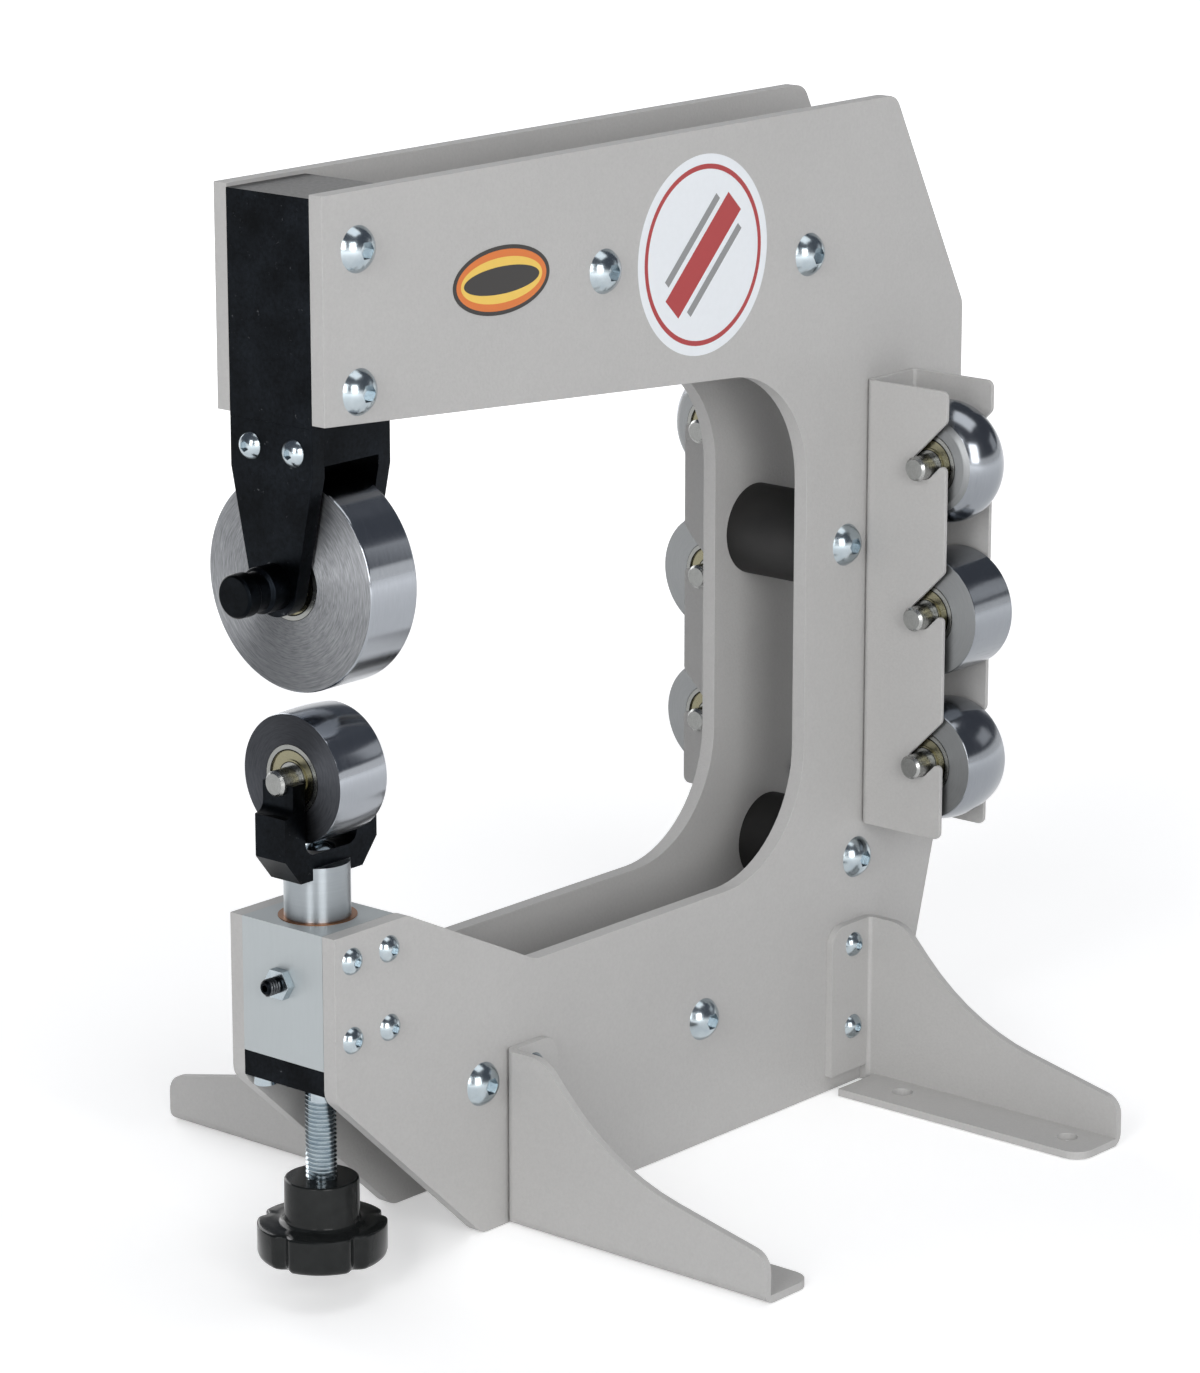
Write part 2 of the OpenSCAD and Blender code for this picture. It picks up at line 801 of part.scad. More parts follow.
// Bent foot of the right side, with its web at x = 0 and its flanges towards +X
module foot() {
    difference() {
        intersection() {
            union() {
                intersection() {
                    mirror([0, 1, 0])
                        linear_extrude(foot_h)
                            polygon(rounded([
                                [0, 0, foot_bend_r], [foot_w, 0, 0],
                                [foot_w, foot_t, 0], [foot_t, foot_t, foot_inner_r],
                                [foot_t, foot_l, 0], [0, foot_l, 0],
                            ]));
                    cross_extrude(foot_w)
                        foot_web_outline();
                }
                mirror([0, 1, 0])
                    linear_extrude(foot_t)
                        polygon(rounded([
                            [0, foot_relief, 0], [foot_w, foot_relief, 0],
                            [foot_w, foot_l, foot_tip_r], [0, foot_l, 0],
                        ]));
            }
            side_extrude(foot_l)
                polygon(rounded([
                    [0, 0, foot_bend_r], [foot_w, 0, 0],
                    [foot_w, foot_h, foot_tip_r], [0, foot_h, 0],
                ]));
        }
        translate([foot_bend_r, -foot_relief, -overrun])
            cube([foot_w, foot_relief + overrun, foot_relief + overrun]);
        for (d = [inner_hole_d, outer_hole_d])
            translate([foot_w / 2, -d, -overrun])
                cylinder(d = bench_hole_d, h = foot_t + 2 * overrun);
        translate([0, overrun, 0])
            side_holes(
                [for (s = foot_screw_shares) [foot_w / 2, s * foot_h]],
                small_hole_d,
                foot_t + 2 * overrun);
    }
}

module front_foot(side) {
    color(powder_grey)
        placed()
            on_side(side)
                translate([front_foot_x, -outer_y, 0])
                    foot();
}

module rear_foot(side) {
    color(powder_grey)
        placed()
            on_side(side)
                translate([rear_foot_x, -outer_y, 0])
                    mirror([1, 0, 0])
                        foot();
}

module foot_screws(side) {
    color(zinc_plate)
        placed()
            on_side(side)
                side_screws(foot_screw_places, small_screw, outer_y + foot_t, foot_t + plate_t);
}

// End of slot i of a rack: distance from the plate and height above the rack's lower end
function slot_end(i) = [slot_end_d, slot_low_h + i * slot_pitch];

// Corners of slot i along the outer edge of a rack flange, from below
function slot_corners(i) =
    let (along = [cos(slot_angle), sin(slot_angle)])
    let (across = [along.y, -along.x] * slot_w / 2)
    let (low = slot_end(i) + across, high = slot_end(i) - across)
    let (low_z = low.y + (rack_d - low.x) * tan(slot_angle))
    let (high_z = high.y + (rack_d - high.x) * tan(slot_angle))
    [
        [rack_d, low_z, rack_lip_r], [low.x, low.y, 0],
        [high.x, high.y, 0], [rack_d, high_z, rack_corner_r],
    ];

// Flange of a rack: distance from the plate and height
module rack_flange_outline() {
    polygon(rounded(concat(
        [[0, 0, 0], [rack_d, 0, rack_corner_r]],
        [for (i = [0:slot_count - 1]) each slot_corners(i)],
        [[rack_d, rack_h, rack_corner_r], [0, rack_h, 0]])));
}

// Channel rack with three slots in each flange for the spare anvils
module anvil_rack(side) {
    color(powder_grey)
        placed()
            on_side(side)
                translate([rack_x, -outer_y, rack_low_z])
                    difference() {
                        intersection() {
                            mirror([0, 1, 0])
                                linear_extrude(rack_h)
                                    polygon(rounded([
                                        [0, 0, rack_bend_r], [rack_w, 0, rack_bend_r],
                                        [rack_w, rack_d, 0], [rack_w - rack_t, rack_d, 0],
                                        [rack_w - rack_t, rack_t, rack_inner_r],
                                        [rack_t, rack_t, rack_inner_r],
                                        [rack_t, rack_d, 0], [0, rack_d, 0],
                                    ]));
                            cross_extrude(rack_w)
                                rack_flange_outline();
                        }
                        for (i = [0:slot_count - 1])
                            translate([-overrun, -slot_end(i).x, slot_end(i).y])
                                rotate([0, 90, 0])
                                    cylinder(d = seat_d, h = rack_w + 2 * overrun);
                        translate([-rack_x, overrun, -rack_low_z])
                            side_holes(rack_screw_places, small_hole_d, rack_t + 2 * overrun);
                    }
}

module rack_screws(side) {
    color(zinc_plate)
        placed()
            on_side(side)
                side_screws(
                    rack_screw_places,
                    small_screw,
                    outer_y + rack_t,
                    rack_t + plate_t + rack_screw_tip);
}

// Axle pin of the upper wheel with a waisted pull head
module upper_axle() {
    color(black_oxide)
        placed()
            translate([0, 0, axle_z])
                turned_along_x([
                    [-axle_grip_l, axle_head_d - 2 * axle_chamfer],
                    [axle_chamfer - axle_grip_l, axle_head_d],
                    [axle_head_l - axle_grip_l, axle_head_d],
                    [axle_head_l + axle_chamfer - axle_grip_l, axle_neck_d],
                    [-axle_collar_l - axle_chamfer, axle_neck_d],
                    [-axle_collar_l, axle_collar_d],
                    [-seat_clear, axle_collar_d],
                    [-seat_clear, axle_shaft_d],
                    [head_l + axle_tail_l - axle_chamfer, axle_shaft_d],
                    [head_l + axle_tail_l, axle_shaft_d - 2 * axle_chamfer],
                ]);
}

module upper_wheel() {
    shoulder_d = axle_bearing_d * 0.8;
    ring_d = axle_bearing_d + 2 * seat_clear;
    color(polished_steel)
        placed()
            translate([axis_x, 0, axle_z])
                difference() {
                    turned_along_x([
                        [-upper_wheel_w / 2, upper_wheel_d - 2 * wheel_edge],
                        [wheel_edge - upper_wheel_w / 2, upper_wheel_d],
                        [upper_wheel_w / 2 - wheel_edge, upper_wheel_d],
                        [upper_wheel_w / 2, upper_wheel_d - 2 * wheel_edge],
                    ]);
                    rotate([0, 90, 0])
                        cylinder(d = shoulder_d, h = upper_wheel_w + overrun, center = true);
                    for (side = [-1, 1])
                        translate([side * (upper_wheel_w - bearing_w + overrun) / 2, 0, 0])
                            rotate([0, 90, 0])
                                cylinder(d = ring_d, h = bearing_w + overrun, center = true);
                }
}

module upper_wheel_bearings() {
    color(bearing_steel)
        placed()
            translate([axis_x, 0, axle_z])
                bearing_pair(axle_d, axle_bearing_d, upper_wheel_w);
}

// Ram post with a keyway in front and a tapped hole in its top
module ram_post() {
    color(polished_steel)
        placed()
            translate([axis_x, 0, post_low_z])
                difference() {
                    rotate_extrude()
                        polygon([
                            [0, 0], [post_d / 2 - post_chamfer, 0], [post_d / 2, post_chamfer],
                            [post_d / 2, post_l], [0, post_l],
                        ]);
                    translate([-post_d / 2 - overrun, -key_w / 2, key_margin])
                        cube([key_depth + overrun, key_w, key_l]);
                    translate([0, 0, post_l + post_seat_h - fork_screw_l])
                        cylinder(d = fork_screw_size[0] + 2 * seat_clear, h = fork_screw_l);
                }
}

// Fork that cradles the anvil pin in two open half-round notches
module ram_fork() {
    inner = fork_gap / 2;
    arm = inner + fork_arm_t;
    shoulder_z = fork_floor_z + fork_shoulder_h;
    notch_d = pin_d + 2 * seat_clear;
    side = [
        [fork_shoulder_l - fork_chamfer_l, fork_low_z, 0],
        [fork_shoulder_l, fork_low_z + fork_chamfer_h, 0],
        [fork_shoulder_l, shoulder_z, 0],
        [arm, shoulder_z, fork_step - seat_clear],
        [arm, ram_anvil_z, 0],
        [inner, ram_anvil_z, 0],
        [inner, fork_floor_z, fork_inner_r],
    ];
    other_side = [for (i = [len(side) - 1:-1:0]) [-side[i][0], side[i][1], side[i][2]]];
    color(black_oxide)
        placed()
            difference() {
                translate([axis_x, fork_w / 2, 0])
                    side_extrude(fork_w)
                        polygon(rounded(concat(side, other_side)));
                translate([axis_x, 0, ram_anvil_z])
                    rotate([0, 90, 0])
                        cylinder(d = notch_d, h = 2 * fork_shoulder_l + overrun, center = true);
                translate([axis_x, 0, fork_low_z - overrun]) {
                    cylinder(d = post_d + 2 * seat_clear, h = post_seat_h + overrun);
                    cylinder(d = fork_screw_size[0] + 2 * seat_clear, h = fork_floor_t + 2 * overrun);
                }
                translate([axis_x, 0, fork_floor_z - fork_screw_sink])
                    cylinder(d = fork_screw_size[1] + 2 * seat_clear, h = fork_screw_sink + fork_inner_r);
            }
}

module fork_screw() {
    color(zinc_plate)
        placed()
            translate([axis_x, 0, fork_floor_z - fork_screw_sink])
                mirror([0, 0, 1])
                    button_screw(fork_screw_size, fork_screw_l - fork_screw_sink);
}

module anvil_pin() {
    color(bearing_steel)
        placed()
            translate([axis_x, 0, ram_anvil_z])
                pin(pin_d, pin_l, pin_chamfer);
}

module anvil_wheel() {
    color(polished_steel)
        placed()
            translate([axis_x, 0, ram_anvil_z])
                wheel(anvil_d, anvil_w, anvil_bearing_d, ram_crown_r);
}

module anvil_bearings() {
    color(bearing_steel)
        placed()
            translate([axis_x, 0, ram_anvil_z])
                bearing_pair(pin_bore_d, anvil_bearing_d, anvil_w);
}

// Adjuster screw that lifts the ram post from below
module adjuster_screw() {
    hold_l = (hub_h + knob_grip_h) * knob_hold_share;
    color(zinc_plate)
        placed()
            translate([axis_x, 0, knob_top_z - hold_l])
                rotate_extrude()
                    polygon([
                        [0, 0], [adjuster_d / 2, 0],
                        [adjuster_d / 2, hold_l + adjuster_l - adjuster_chamfer],
                        [adjuster_d / 2 - adjuster_chamfer, hold_l + adjuster_l],
                        [0, hold_l + adjuster_l],
                    ]);
}

// Radius of the knob's grip at an angle from the middle of a lobe
function grip_r(angle) =
    let (lobe = 360 / knob_lobes, off = abs(angle % lobe - lobe / 2))
    let (valley = max(0, off / (lobe / 2) - knob_lobe_share) / (1 - knob_lobe_share))
    knob_d / 2 - knob_groove * (1 - cos(180 * valley)) / 2;

// Hand knob: a round hub over a lobed grip
module adjuster_knob() {
    hold_l = (hub_h + knob_grip_h) * knob_hold_share;
    color(gloss_black)
        placed()
            translate([axis_x, 0, knob_top_z])
                difference() {
                    union() {
                        translate([0, 0, -hub_h - knob_grip_h / 2])
                            cylinder(d = hub_d, h = hub_h + knob_grip_h / 2);
                        translate([0, 0, -hub_h - knob_grip_h])
                            rotate([0, 0, knob_turn])
                                linear_extrude(knob_grip_h)
                                    polygon([for (a = [0:knob_step:360 - knob_step])
                                        grip_r(a) * [cos(a), sin(a)]]);
                    }
                    translate([0, 0, -hold_l])
                        cylinder(d = adjuster_d + 2 * seat_clear, h = hold_l + overrun);
                }
}

// Puts a spare anvil's piece in slot i of a rack, counted from below
module in_slot(side, i) {
    drop = (seat_d - pin_d) / 2 - slot_seat_gap;
    placed()
        on_side(side)
            translate([rack_mid_x, -outer_y - slot_end(i).x, rack_low_z + slot_end(i).y - drop])
                children();
}

module spare_wheel(side, i, crown_r) {
    color(polished_steel)
        in_slot(side, i)
            wheel(anvil_d, anvil_w, anvil_bearing_d, crown_r);
}

module spare_bearings(side, i) {
    color(bearing_steel)
        in_slot(side, i)
            bearing_pair(pin_bore_d, anvil_bearing_d, anvil_w);
}

module spare_pin(side, i) {
    color(bearing_steel)
        in_slot(side, i)
            pin(pin_d, pin_l, pin_chamfer);
}

side_plate(right);  // right_side_plate
side_plate(left);  // left_side_plate
head_block();
frame_spacers();
frame_screws(right);  // right_frame_screws
frame_screws(left);  // left_frame_screws
front_cheek();
rear_cheek();
front_cheek_screws();
rear_cheek_screws();
guide_block();
guide_bush();
guide_screws(right);  // right_guide_screws
guide_screws(left);  // left_guide_screws
thrust_plate();
thrust_plate_screws();
key_set_screw();
key_jam_nut();
front_foot(right);  // right_front_foot
front_foot(left);  // left_front_foot
rear_foot(right);  // right_rear_foot
rear_foot(left);  // left_rear_foot
foot_screws(right);  // right_foot_screws
foot_screws(left);  // left_foot_screws
anvil_rack(right);  // right_anvil_rack
anvil_rack(left);  // left_anvil_rack
rack_screws(right);  // right_rack_screws
rack_screws(left);  // left_rack_screws
upper_axle();
upper_wheel();
upper_wheel_bearings();
ram_post();
ram_fork();
fork_screw();
anvil_pin();
anvil_wheel();
anvil_bearings();
adjuster_screw();
adjuster_knob();
spare_wheel(right, 2, ball_crown_r);  // right_top_spare_wheel
spare_bearings(right, 2);  // right_top_spare_bearings
spare_pin(right, 2);  // right_top_spare_pin
spare_wheel(right, 1, flat_crown_r);  // right_middle_spare_wheel
spare_bearings(right, 1);  // right_middle_spare_bearings
spare_pin(right, 1);  // right_middle_spare_pin
spare_wheel(right, 0, low_crown_r);  // right_bottom_spare_wheel
spare_bearings(right, 0);  // right_bottom_spare_bearings
spare_pin(right, 0);  // right_bottom_spare_pin
spare_wheel(left, 2, ball_crown_r);  // left_top_spare_wheel
spare_bearings(left, 2);  // left_top_spare_bearings
spare_pin(left, 2);  // left_top_spare_pin
spare_wheel(left, 1, flat_crown_r);  // left_middle_spare_wheel
spare_bearings(left, 1);  // left_middle_spare_bearings
spare_pin(left, 1);  // left_middle_spare_pin
spare_wheel(left, 0, low_crown_r);  // left_bottom_spare_wheel
spare_bearings(left, 0);  // left_bottom_spare_bearings
spare_pin(left, 0);  // left_bottom_spare_pin
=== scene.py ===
import math

import bmesh
import bpy
from mathutils import Matrix, Vector


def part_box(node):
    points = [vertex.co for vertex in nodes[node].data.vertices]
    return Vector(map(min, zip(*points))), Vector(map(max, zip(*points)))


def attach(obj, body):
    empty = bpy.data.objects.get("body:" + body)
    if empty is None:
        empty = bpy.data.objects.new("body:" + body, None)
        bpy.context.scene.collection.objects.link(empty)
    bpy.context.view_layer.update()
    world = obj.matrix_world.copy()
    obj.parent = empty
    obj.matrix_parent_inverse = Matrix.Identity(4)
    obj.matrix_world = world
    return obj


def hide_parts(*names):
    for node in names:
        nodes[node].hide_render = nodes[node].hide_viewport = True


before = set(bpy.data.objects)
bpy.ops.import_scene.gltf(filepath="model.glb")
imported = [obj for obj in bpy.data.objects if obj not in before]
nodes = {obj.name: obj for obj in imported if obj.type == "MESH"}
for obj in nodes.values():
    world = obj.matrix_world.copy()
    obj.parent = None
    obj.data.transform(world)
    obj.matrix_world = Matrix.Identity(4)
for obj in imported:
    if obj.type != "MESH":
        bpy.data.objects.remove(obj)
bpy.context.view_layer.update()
print("frame loaded:", len(nodes), "solids")

mm = 0.001  # metres in a millimetre; a name that ends in Mm holds millimetres


def toLinear(hexColour):
    channels = [int(hexColour[i:i + 2], 16) / 255 for i in (1, 3, 5)]
    # the sRGB curve: straight near black, a power above it
    return [c / 12.92 if c <= 0.04045 else ((c + 0.055) / 1.055) ** 2.4 for c in channels] + [1.0]


def plug(tree, node, links):
    for name, source in links.items():
        tree.links.new(source, node.inputs[name])


# adds one node; a setting or link goes to an input socket if there is one of that name or number
# (a Mix node's numbers: 0 share, 2 and 3 floats, 4 and 5 vectors, 6 and 7 colours)
def addNode(tree, kind, settings=None, links=None):
    node = tree.nodes.new(kind)
    for name, value in (settings or {}).items():
        if isinstance(name, int) or name in node.inputs:
            node.inputs[name].default_value = value
        else:
            setattr(node, name, value)
    plug(tree, node, links or {})
    return node


def startMaterial(name, settings):
    material = bpy.data.materials.new(name)
    material.use_nodes = True
    tree = material.node_tree
    tree.nodes.clear()
    shader = addNode(tree, "ShaderNodeBsdfPrincipled", settings)
    addNode(tree, "ShaderNodeOutputMaterial", {}, {"Surface": shader.outputs[0]})
    place = addNode(tree, "ShaderNodeTexCoord").outputs["Object"]
    return material, tree, shader, place


# powder coated steel: an even baked grey whose orange peel breaks up the highlights
def makePowderCoat():
    look = {"light": "#c0bfbd", "dark": "#adacab", "rough": 0.48, "ior": 1.45,
            "peelMm": 1.2, "cloudMm": 60, "peelShare": 0.6, "bump": 0.8, "depthMm": 0.18}
    material, tree, shader, place = startMaterial("powderCoatGrey", {
        "Roughness": look["rough"], "IOR": look["ior"]})
    cloud = addNode(tree, "ShaderNodeTexNoise", {"Scale": 1 / (look["cloudMm"] * mm), "Detail": 3},
                    {"Vector": place})
    # the real peel is about half as wide; it is drawn coarser so that a picture still shows it
    peel = addNode(tree, "ShaderNodeTexNoise",
                   {"Scale": 1 / (look["peelMm"] * mm), "Detail": 2, "Roughness": 0.6}, {"Vector": place})
    share = addNode(tree, "ShaderNodeMix", {"data_type": "FLOAT", 0: look["peelShare"]},
                    {2: cloud.outputs["Fac"], 3: peel.outputs["Fac"]})
    tone = addNode(tree, "ShaderNodeMix",
                   {"data_type": "RGBA", 6: toLinear(look["dark"]), 7: toLinear(look["light"])},
                   {0: share.outputs[0]})
    bump = addNode(tree, "ShaderNodeBump", {"Strength": look["bump"], "Distance": look["depthMm"] * mm},
                   {"Height": peel.outputs["Fac"]})
    plug(tree, shader, {"Base Color": tone.outputs[2], "Normal": bump.outputs[0]})
    return material


# blackened steel: a dark skin over bare steel, mottled a little by its bath or its scale
def makeBlackSteel(name, look):
    mottled, thinned = (0.1, 0.45), (0.66, 0.74)  # the noise values between which each comes in
    material, tree, shader, place = startMaterial(name, {"Metallic": look["metallic"]})
    grain = addNode(tree, "ShaderNodeTexNoise",
                    {"Scale": 1 / (look["grainMm"] * mm), "Detail": 4, "Roughness": 0.65}, {"Vector": place})
    cloud = addNode(tree, "ShaderNodeTexNoise", {"Scale": 1 / (look["cloudMm"] * mm), "Detail": 3},
                    {"Vector": place})
    mottle = addNode(tree, "ShaderNodeMath", {"operation": "MULTIPLY"},
                     {0: grain.outputs["Fac"], 1: cloud.outputs["Fac"]})
    share = addNode(tree, "ShaderNodeMapRange", {"From Min": mottled[0], "From Max": mottled[1]},
                    {"Value": mottle.outputs[0]})
    skin = addNode(tree, "ShaderNodeMix",
                   {"data_type": "RGBA", 6: toLinear(look["dark"]), 7: toLinear(look["light"])},
                   {0: share.outputs[0]})
    # small rubs where the skin is thin
    rub = addNode(tree, "ShaderNodeTexNoise",
                  {"Scale": 1 / (look["rubMm"] * mm), "Detail": 5, "Roughness": 0.7}, {"Vector": place})
    thin = addNode(tree, "ShaderNodeMapRange",
                   {"From Min": thinned[0], "From Max": thinned[1], "To Max": look["rubShare"]},
                   {"Value": rub.outputs["Fac"]})
    tone = addNode(tree, "ShaderNodeMix", {"data_type": "RGBA", 7: toLinear(look["rub"])},
                   {0: thin.outputs[0], 6: skin.outputs[2]})
    rough = addNode(tree, "ShaderNodeMapRange", {"To Min": look["rough"][0], "To Max": look["rough"][1]},
                    {"Value": grain.outputs["Fac"]})
    bump = addNode(tree, "ShaderNodeBump", {"Strength": look["bump"], "Distance": look["depthMm"] * mm},
                   {"Height": grain.outputs["Fac"]})
    plug(tree, shader, {"Base Color": tone.outputs[2], "Roughness": rough.outputs[0],
                        "Normal": bump.outputs[0]})
    return material


# zinc plated steel: bright cool plate, clear reflections, faint blue clouds from the passivation
def makeZincPlate():
    look = {"light": "#c4cccf", "dark": "#9caab3", "cloudMm": 4, "rough": (0.14, 0.28)}
    material, tree, shader, place = startMaterial("zincPlatedSteel", {"Metallic": 1.0})
    cloud = addNode(tree, "ShaderNodeTexNoise", {"Scale": 1 / (look["cloudMm"] * mm), "Detail": 4},
                    {"Vector": place})
    tone = addNode(tree, "ShaderNodeMix",
                   {"data_type": "RGBA", 6: toLinear(look["dark"]), 7: toLinear(look["light"])},
                   {0: cloud.outputs["Fac"]})
    rough = addNode(tree, "ShaderNodeMapRange", {"To Min": look["rough"][0], "To Max": look["rough"][1]},
                    {"Value": cloud.outputs["Fac"]})
    plug(tree, shader, {"Base Color": tone.outputs[2], "Roughness": rough.outputs[0]})
    return material


# a point's offset from the middle of a wheel, the part of it across the axis, and its radius
def aroundAxis(tree, place, centre):
    offset = addNode(tree, "ShaderNodeVectorMath", {"operation": "SUBTRACT", 1: centre}, {0: place})
    radial = addNode(tree, "ShaderNodeVectorMath", {"operation": "MULTIPLY", 1: (0, 1, 1)},
                     {0: offset.outputs[0]})
    radius = addNode(tree, "ShaderNodeVectorMath", {"operation": "LENGTH"}, {0: radial.outputs[0]})
    return offset.outputs[0], radial.outputs[0], radius.outputs["Value"]


toolMarkMm = 0.02  # depth of a turned, milled or ground line


# lathe turned steel: brushed round on the flat faces, polished on what rolls
def makeTurnedSteel(name, centre, look):
    faceFrom = 0.8  # a face looks along the axis by at least this much
    rimSpread, faceSpread = 0.3, 0.2  # how far the roughness varies from line to line
    material, tree, shader, place = startMaterial("turnedSteel." + name, {
        "Metallic": 1.0, "Anisotropic": look["stretch"]})
    offset, radial, radius = aroundAxis(tree, place, centre)
    along = addNode(tree, "ShaderNodeSeparateXYZ", {}, {0: offset})
    normal = addNode(tree, "ShaderNodeNewGeometry").outputs["Normal"]
    facing = addNode(tree, "ShaderNodeSeparateXYZ", {}, {0: normal})
    side = addNode(tree, "ShaderNodeMath", {"operation": "ABSOLUTE"}, {0: facing.outputs[0]})
    isFace = addNode(tree, "ShaderNodeMath", {"operation": "GREATER_THAN", 1: faceFrom},
                     {0: side.outputs[0]}).outputs[0]
    # scratches are short arcs: thin across, long round the axis
    across = addNode(tree, "ShaderNodeMix", {"data_type": "FLOAT"},
                     {0: isFace, 2: along.outputs[0], 3: radius})
    count = addNode(tree, "ShaderNodeMath", {"operation": "DIVIDE", 1: look["lineMm"] * mm},
                    {0: across.outputs[0]})
    heading = addNode(tree, "ShaderNodeVectorMath", {"operation": "NORMALIZE"}, {0: radial})
    turned = addNode(tree, "ShaderNodeVectorMath", {"operation": "SCALE", "Scale": look["arcs"]},
                     {0: heading.outputs[0]})
    step = addNode(tree, "ShaderNodeCombineXYZ", {}, {0: count.outputs[0]})
    spot = addNode(tree, "ShaderNodeVectorMath", {"operation": "ADD"},
                   {0: turned.outputs[0], 1: step.outputs[0]})
    lines = addNode(tree, "ShaderNodeTexNoise", {"Scale": 1.0, "Detail": 2, "Roughness": 0.6},
                    {"Vector": spot.outputs[0]}).outputs["Fac"]
    rimTone = addNode(tree, "ShaderNodeMix",
                      {"data_type": "RGBA", 6: toLinear(look["rimDark"]), 7: toLinear(look["rimLight"])},
                      {0: lines})
    faceTone = addNode(tree, "ShaderNodeMix",
                       {"data_type": "RGBA", 6: toLinear(look["faceDark"]), 7: toLinear(look["faceLight"])},
                       {0: lines})
    tone = addNode(tree, "ShaderNodeMix", {"data_type": "RGBA"},
                   {0: isFace, 6: rimTone.outputs[2], 7: faceTone.outputs[2]})
    rimRough = addNode(tree, "ShaderNodeMapRange",
                       {"To Min": look["rimRough"] * (1 - rimSpread),
                        "To Max": look["rimRough"] * (1 + rimSpread)}, {"Value": lines})
    faceRough = addNode(tree, "ShaderNodeMapRange",
                        {"To Min": look["faceRough"] * (1 - faceSpread),
                         "To Max": look["faceRough"] * (1 + faceSpread)}, {"Value": lines})
    rough = addNode(tree, "ShaderNodeMix", {"data_type": "FLOAT"},
                    {0: isFace, 2: rimRough.outputs[0], 3: faceRough.outputs[0]})
    smear = addNode(tree, "ShaderNodeMix", {"data_type": "VECTOR", 4: (1, 0, 0)}, {0: isFace, 5: radial})
    depth = addNode(tree, "ShaderNodeMix", {"data_type": "FLOAT", 2: look["rimBump"], 3: look["faceBump"]},
                    {0: isFace})
    bump = addNode(tree, "ShaderNodeBump", {"Distance": toolMarkMm * mm},
                   {"Height": lines, "Strength": depth.outputs[0]})
    plug(tree, shader, {"Base Color": tone.outputs[2], "Roughness": rough.outputs[0],
                        "Tangent": smear.outputs[1], "Normal": bump.outputs[0]})
    return material


# shielded ball bearing: ground rings round a straw coloured pressed shield; the thin dark gaps between them
# are painted shade
def makeBearingSteel(name, centre, boreMm, outerMm):
    look = {  # each band's start as a share of the way from the bore to the outside, and its colour
        # the two #1c1b18 bands are painted shade, drawn into the colour where the gaps between the rings and
        # the shield lie
        "bands": [(0, "#999a97"), (0.16, "#1c1b18"), (0.21, "#8a866f"), (0.72, "#1c1b18"), (0.79, "#8f908d")],
        "smearMm": 5, "rough": (0.18, 0.36)}
    material, tree, shader, place = startMaterial("shieldedBearing." + name, {"Metallic": 1.0})
    radius = aroundAxis(tree, place, centre)[2]
    share = addNode(tree, "ShaderNodeMapRange", {"From Min": boreMm / 2 * mm, "From Max": outerMm / 2 * mm},
                    {"Value": radius})
    bands = addNode(tree, "ShaderNodeValToRGB", {}, {0: share.outputs[0]})
    bands.color_ramp.interpolation = "CONSTANT"
    while len(bands.color_ramp.elements) < len(look["bands"]):
        bands.color_ramp.elements.new(1.0)
    for stop, (start, hexColour) in zip(bands.color_ramp.elements, look["bands"]):
        stop.position = start
        stop.color = toLinear(hexColour)
    smear = addNode(tree, "ShaderNodeTexNoise", {"Scale": 1 / (look["smearMm"] * mm), "Detail": 3},
                    {"Vector": place})
    rough = addNode(tree, "ShaderNodeMapRange", {"To Min": look["rough"][0], "To Max": look["rough"][1]},
                    {"Value": smear.outputs["Fac"]})
    plug(tree, shader, {"Base Color": bands.outputs[0], "Roughness": rough.outputs[0]})
    return material


# a plain metal with fine tool lines along one axis, or pores where the three sizes are equal
def makeLinedMetal(name, look):
    roughSpread = 0.2  # how far the roughness varies from line to line
    material, tree, shader, place = startMaterial(name, {
        "Metallic": look["metallic"], "Anisotropic": look["stretch"]})
    upright = addNode(tree, "ShaderNodeCombineXYZ", {2: 1})
    squeeze = addNode(tree, "ShaderNodeVectorMath",
                      {"operation": "MULTIPLY", 1: [1 / (size * mm) for size in look["linesMm"]]}, {0: place})
    lines = addNode(tree, "ShaderNodeTexNoise", {"Scale": 1.0, "Detail": 3, "Roughness": 0.6},
                    {"Vector": squeeze.outputs[0]}).outputs["Fac"]
    tone = addNode(tree, "ShaderNodeMix",
                   {"data_type": "RGBA", 6: toLinear(look["dark"]), 7: toLinear(look["light"])}, {0: lines})
    rough = addNode(tree, "ShaderNodeMapRange",
                    {"To Min": look["rough"] * (1 - roughSpread),
                     "To Max": look["rough"] * (1 + roughSpread)}, {"Value": lines})
    bump = addNode(tree, "ShaderNodeBump", {"Strength": look["bump"], "Distance": toolMarkMm * mm},
                   {"Height": lines})
    plug(tree, shader, {"Base Color": tone.outputs[2], "Roughness": rough.outputs[0],
                        "Tangent": upright.outputs[0], "Normal": bump.outputs[0]})
    return material


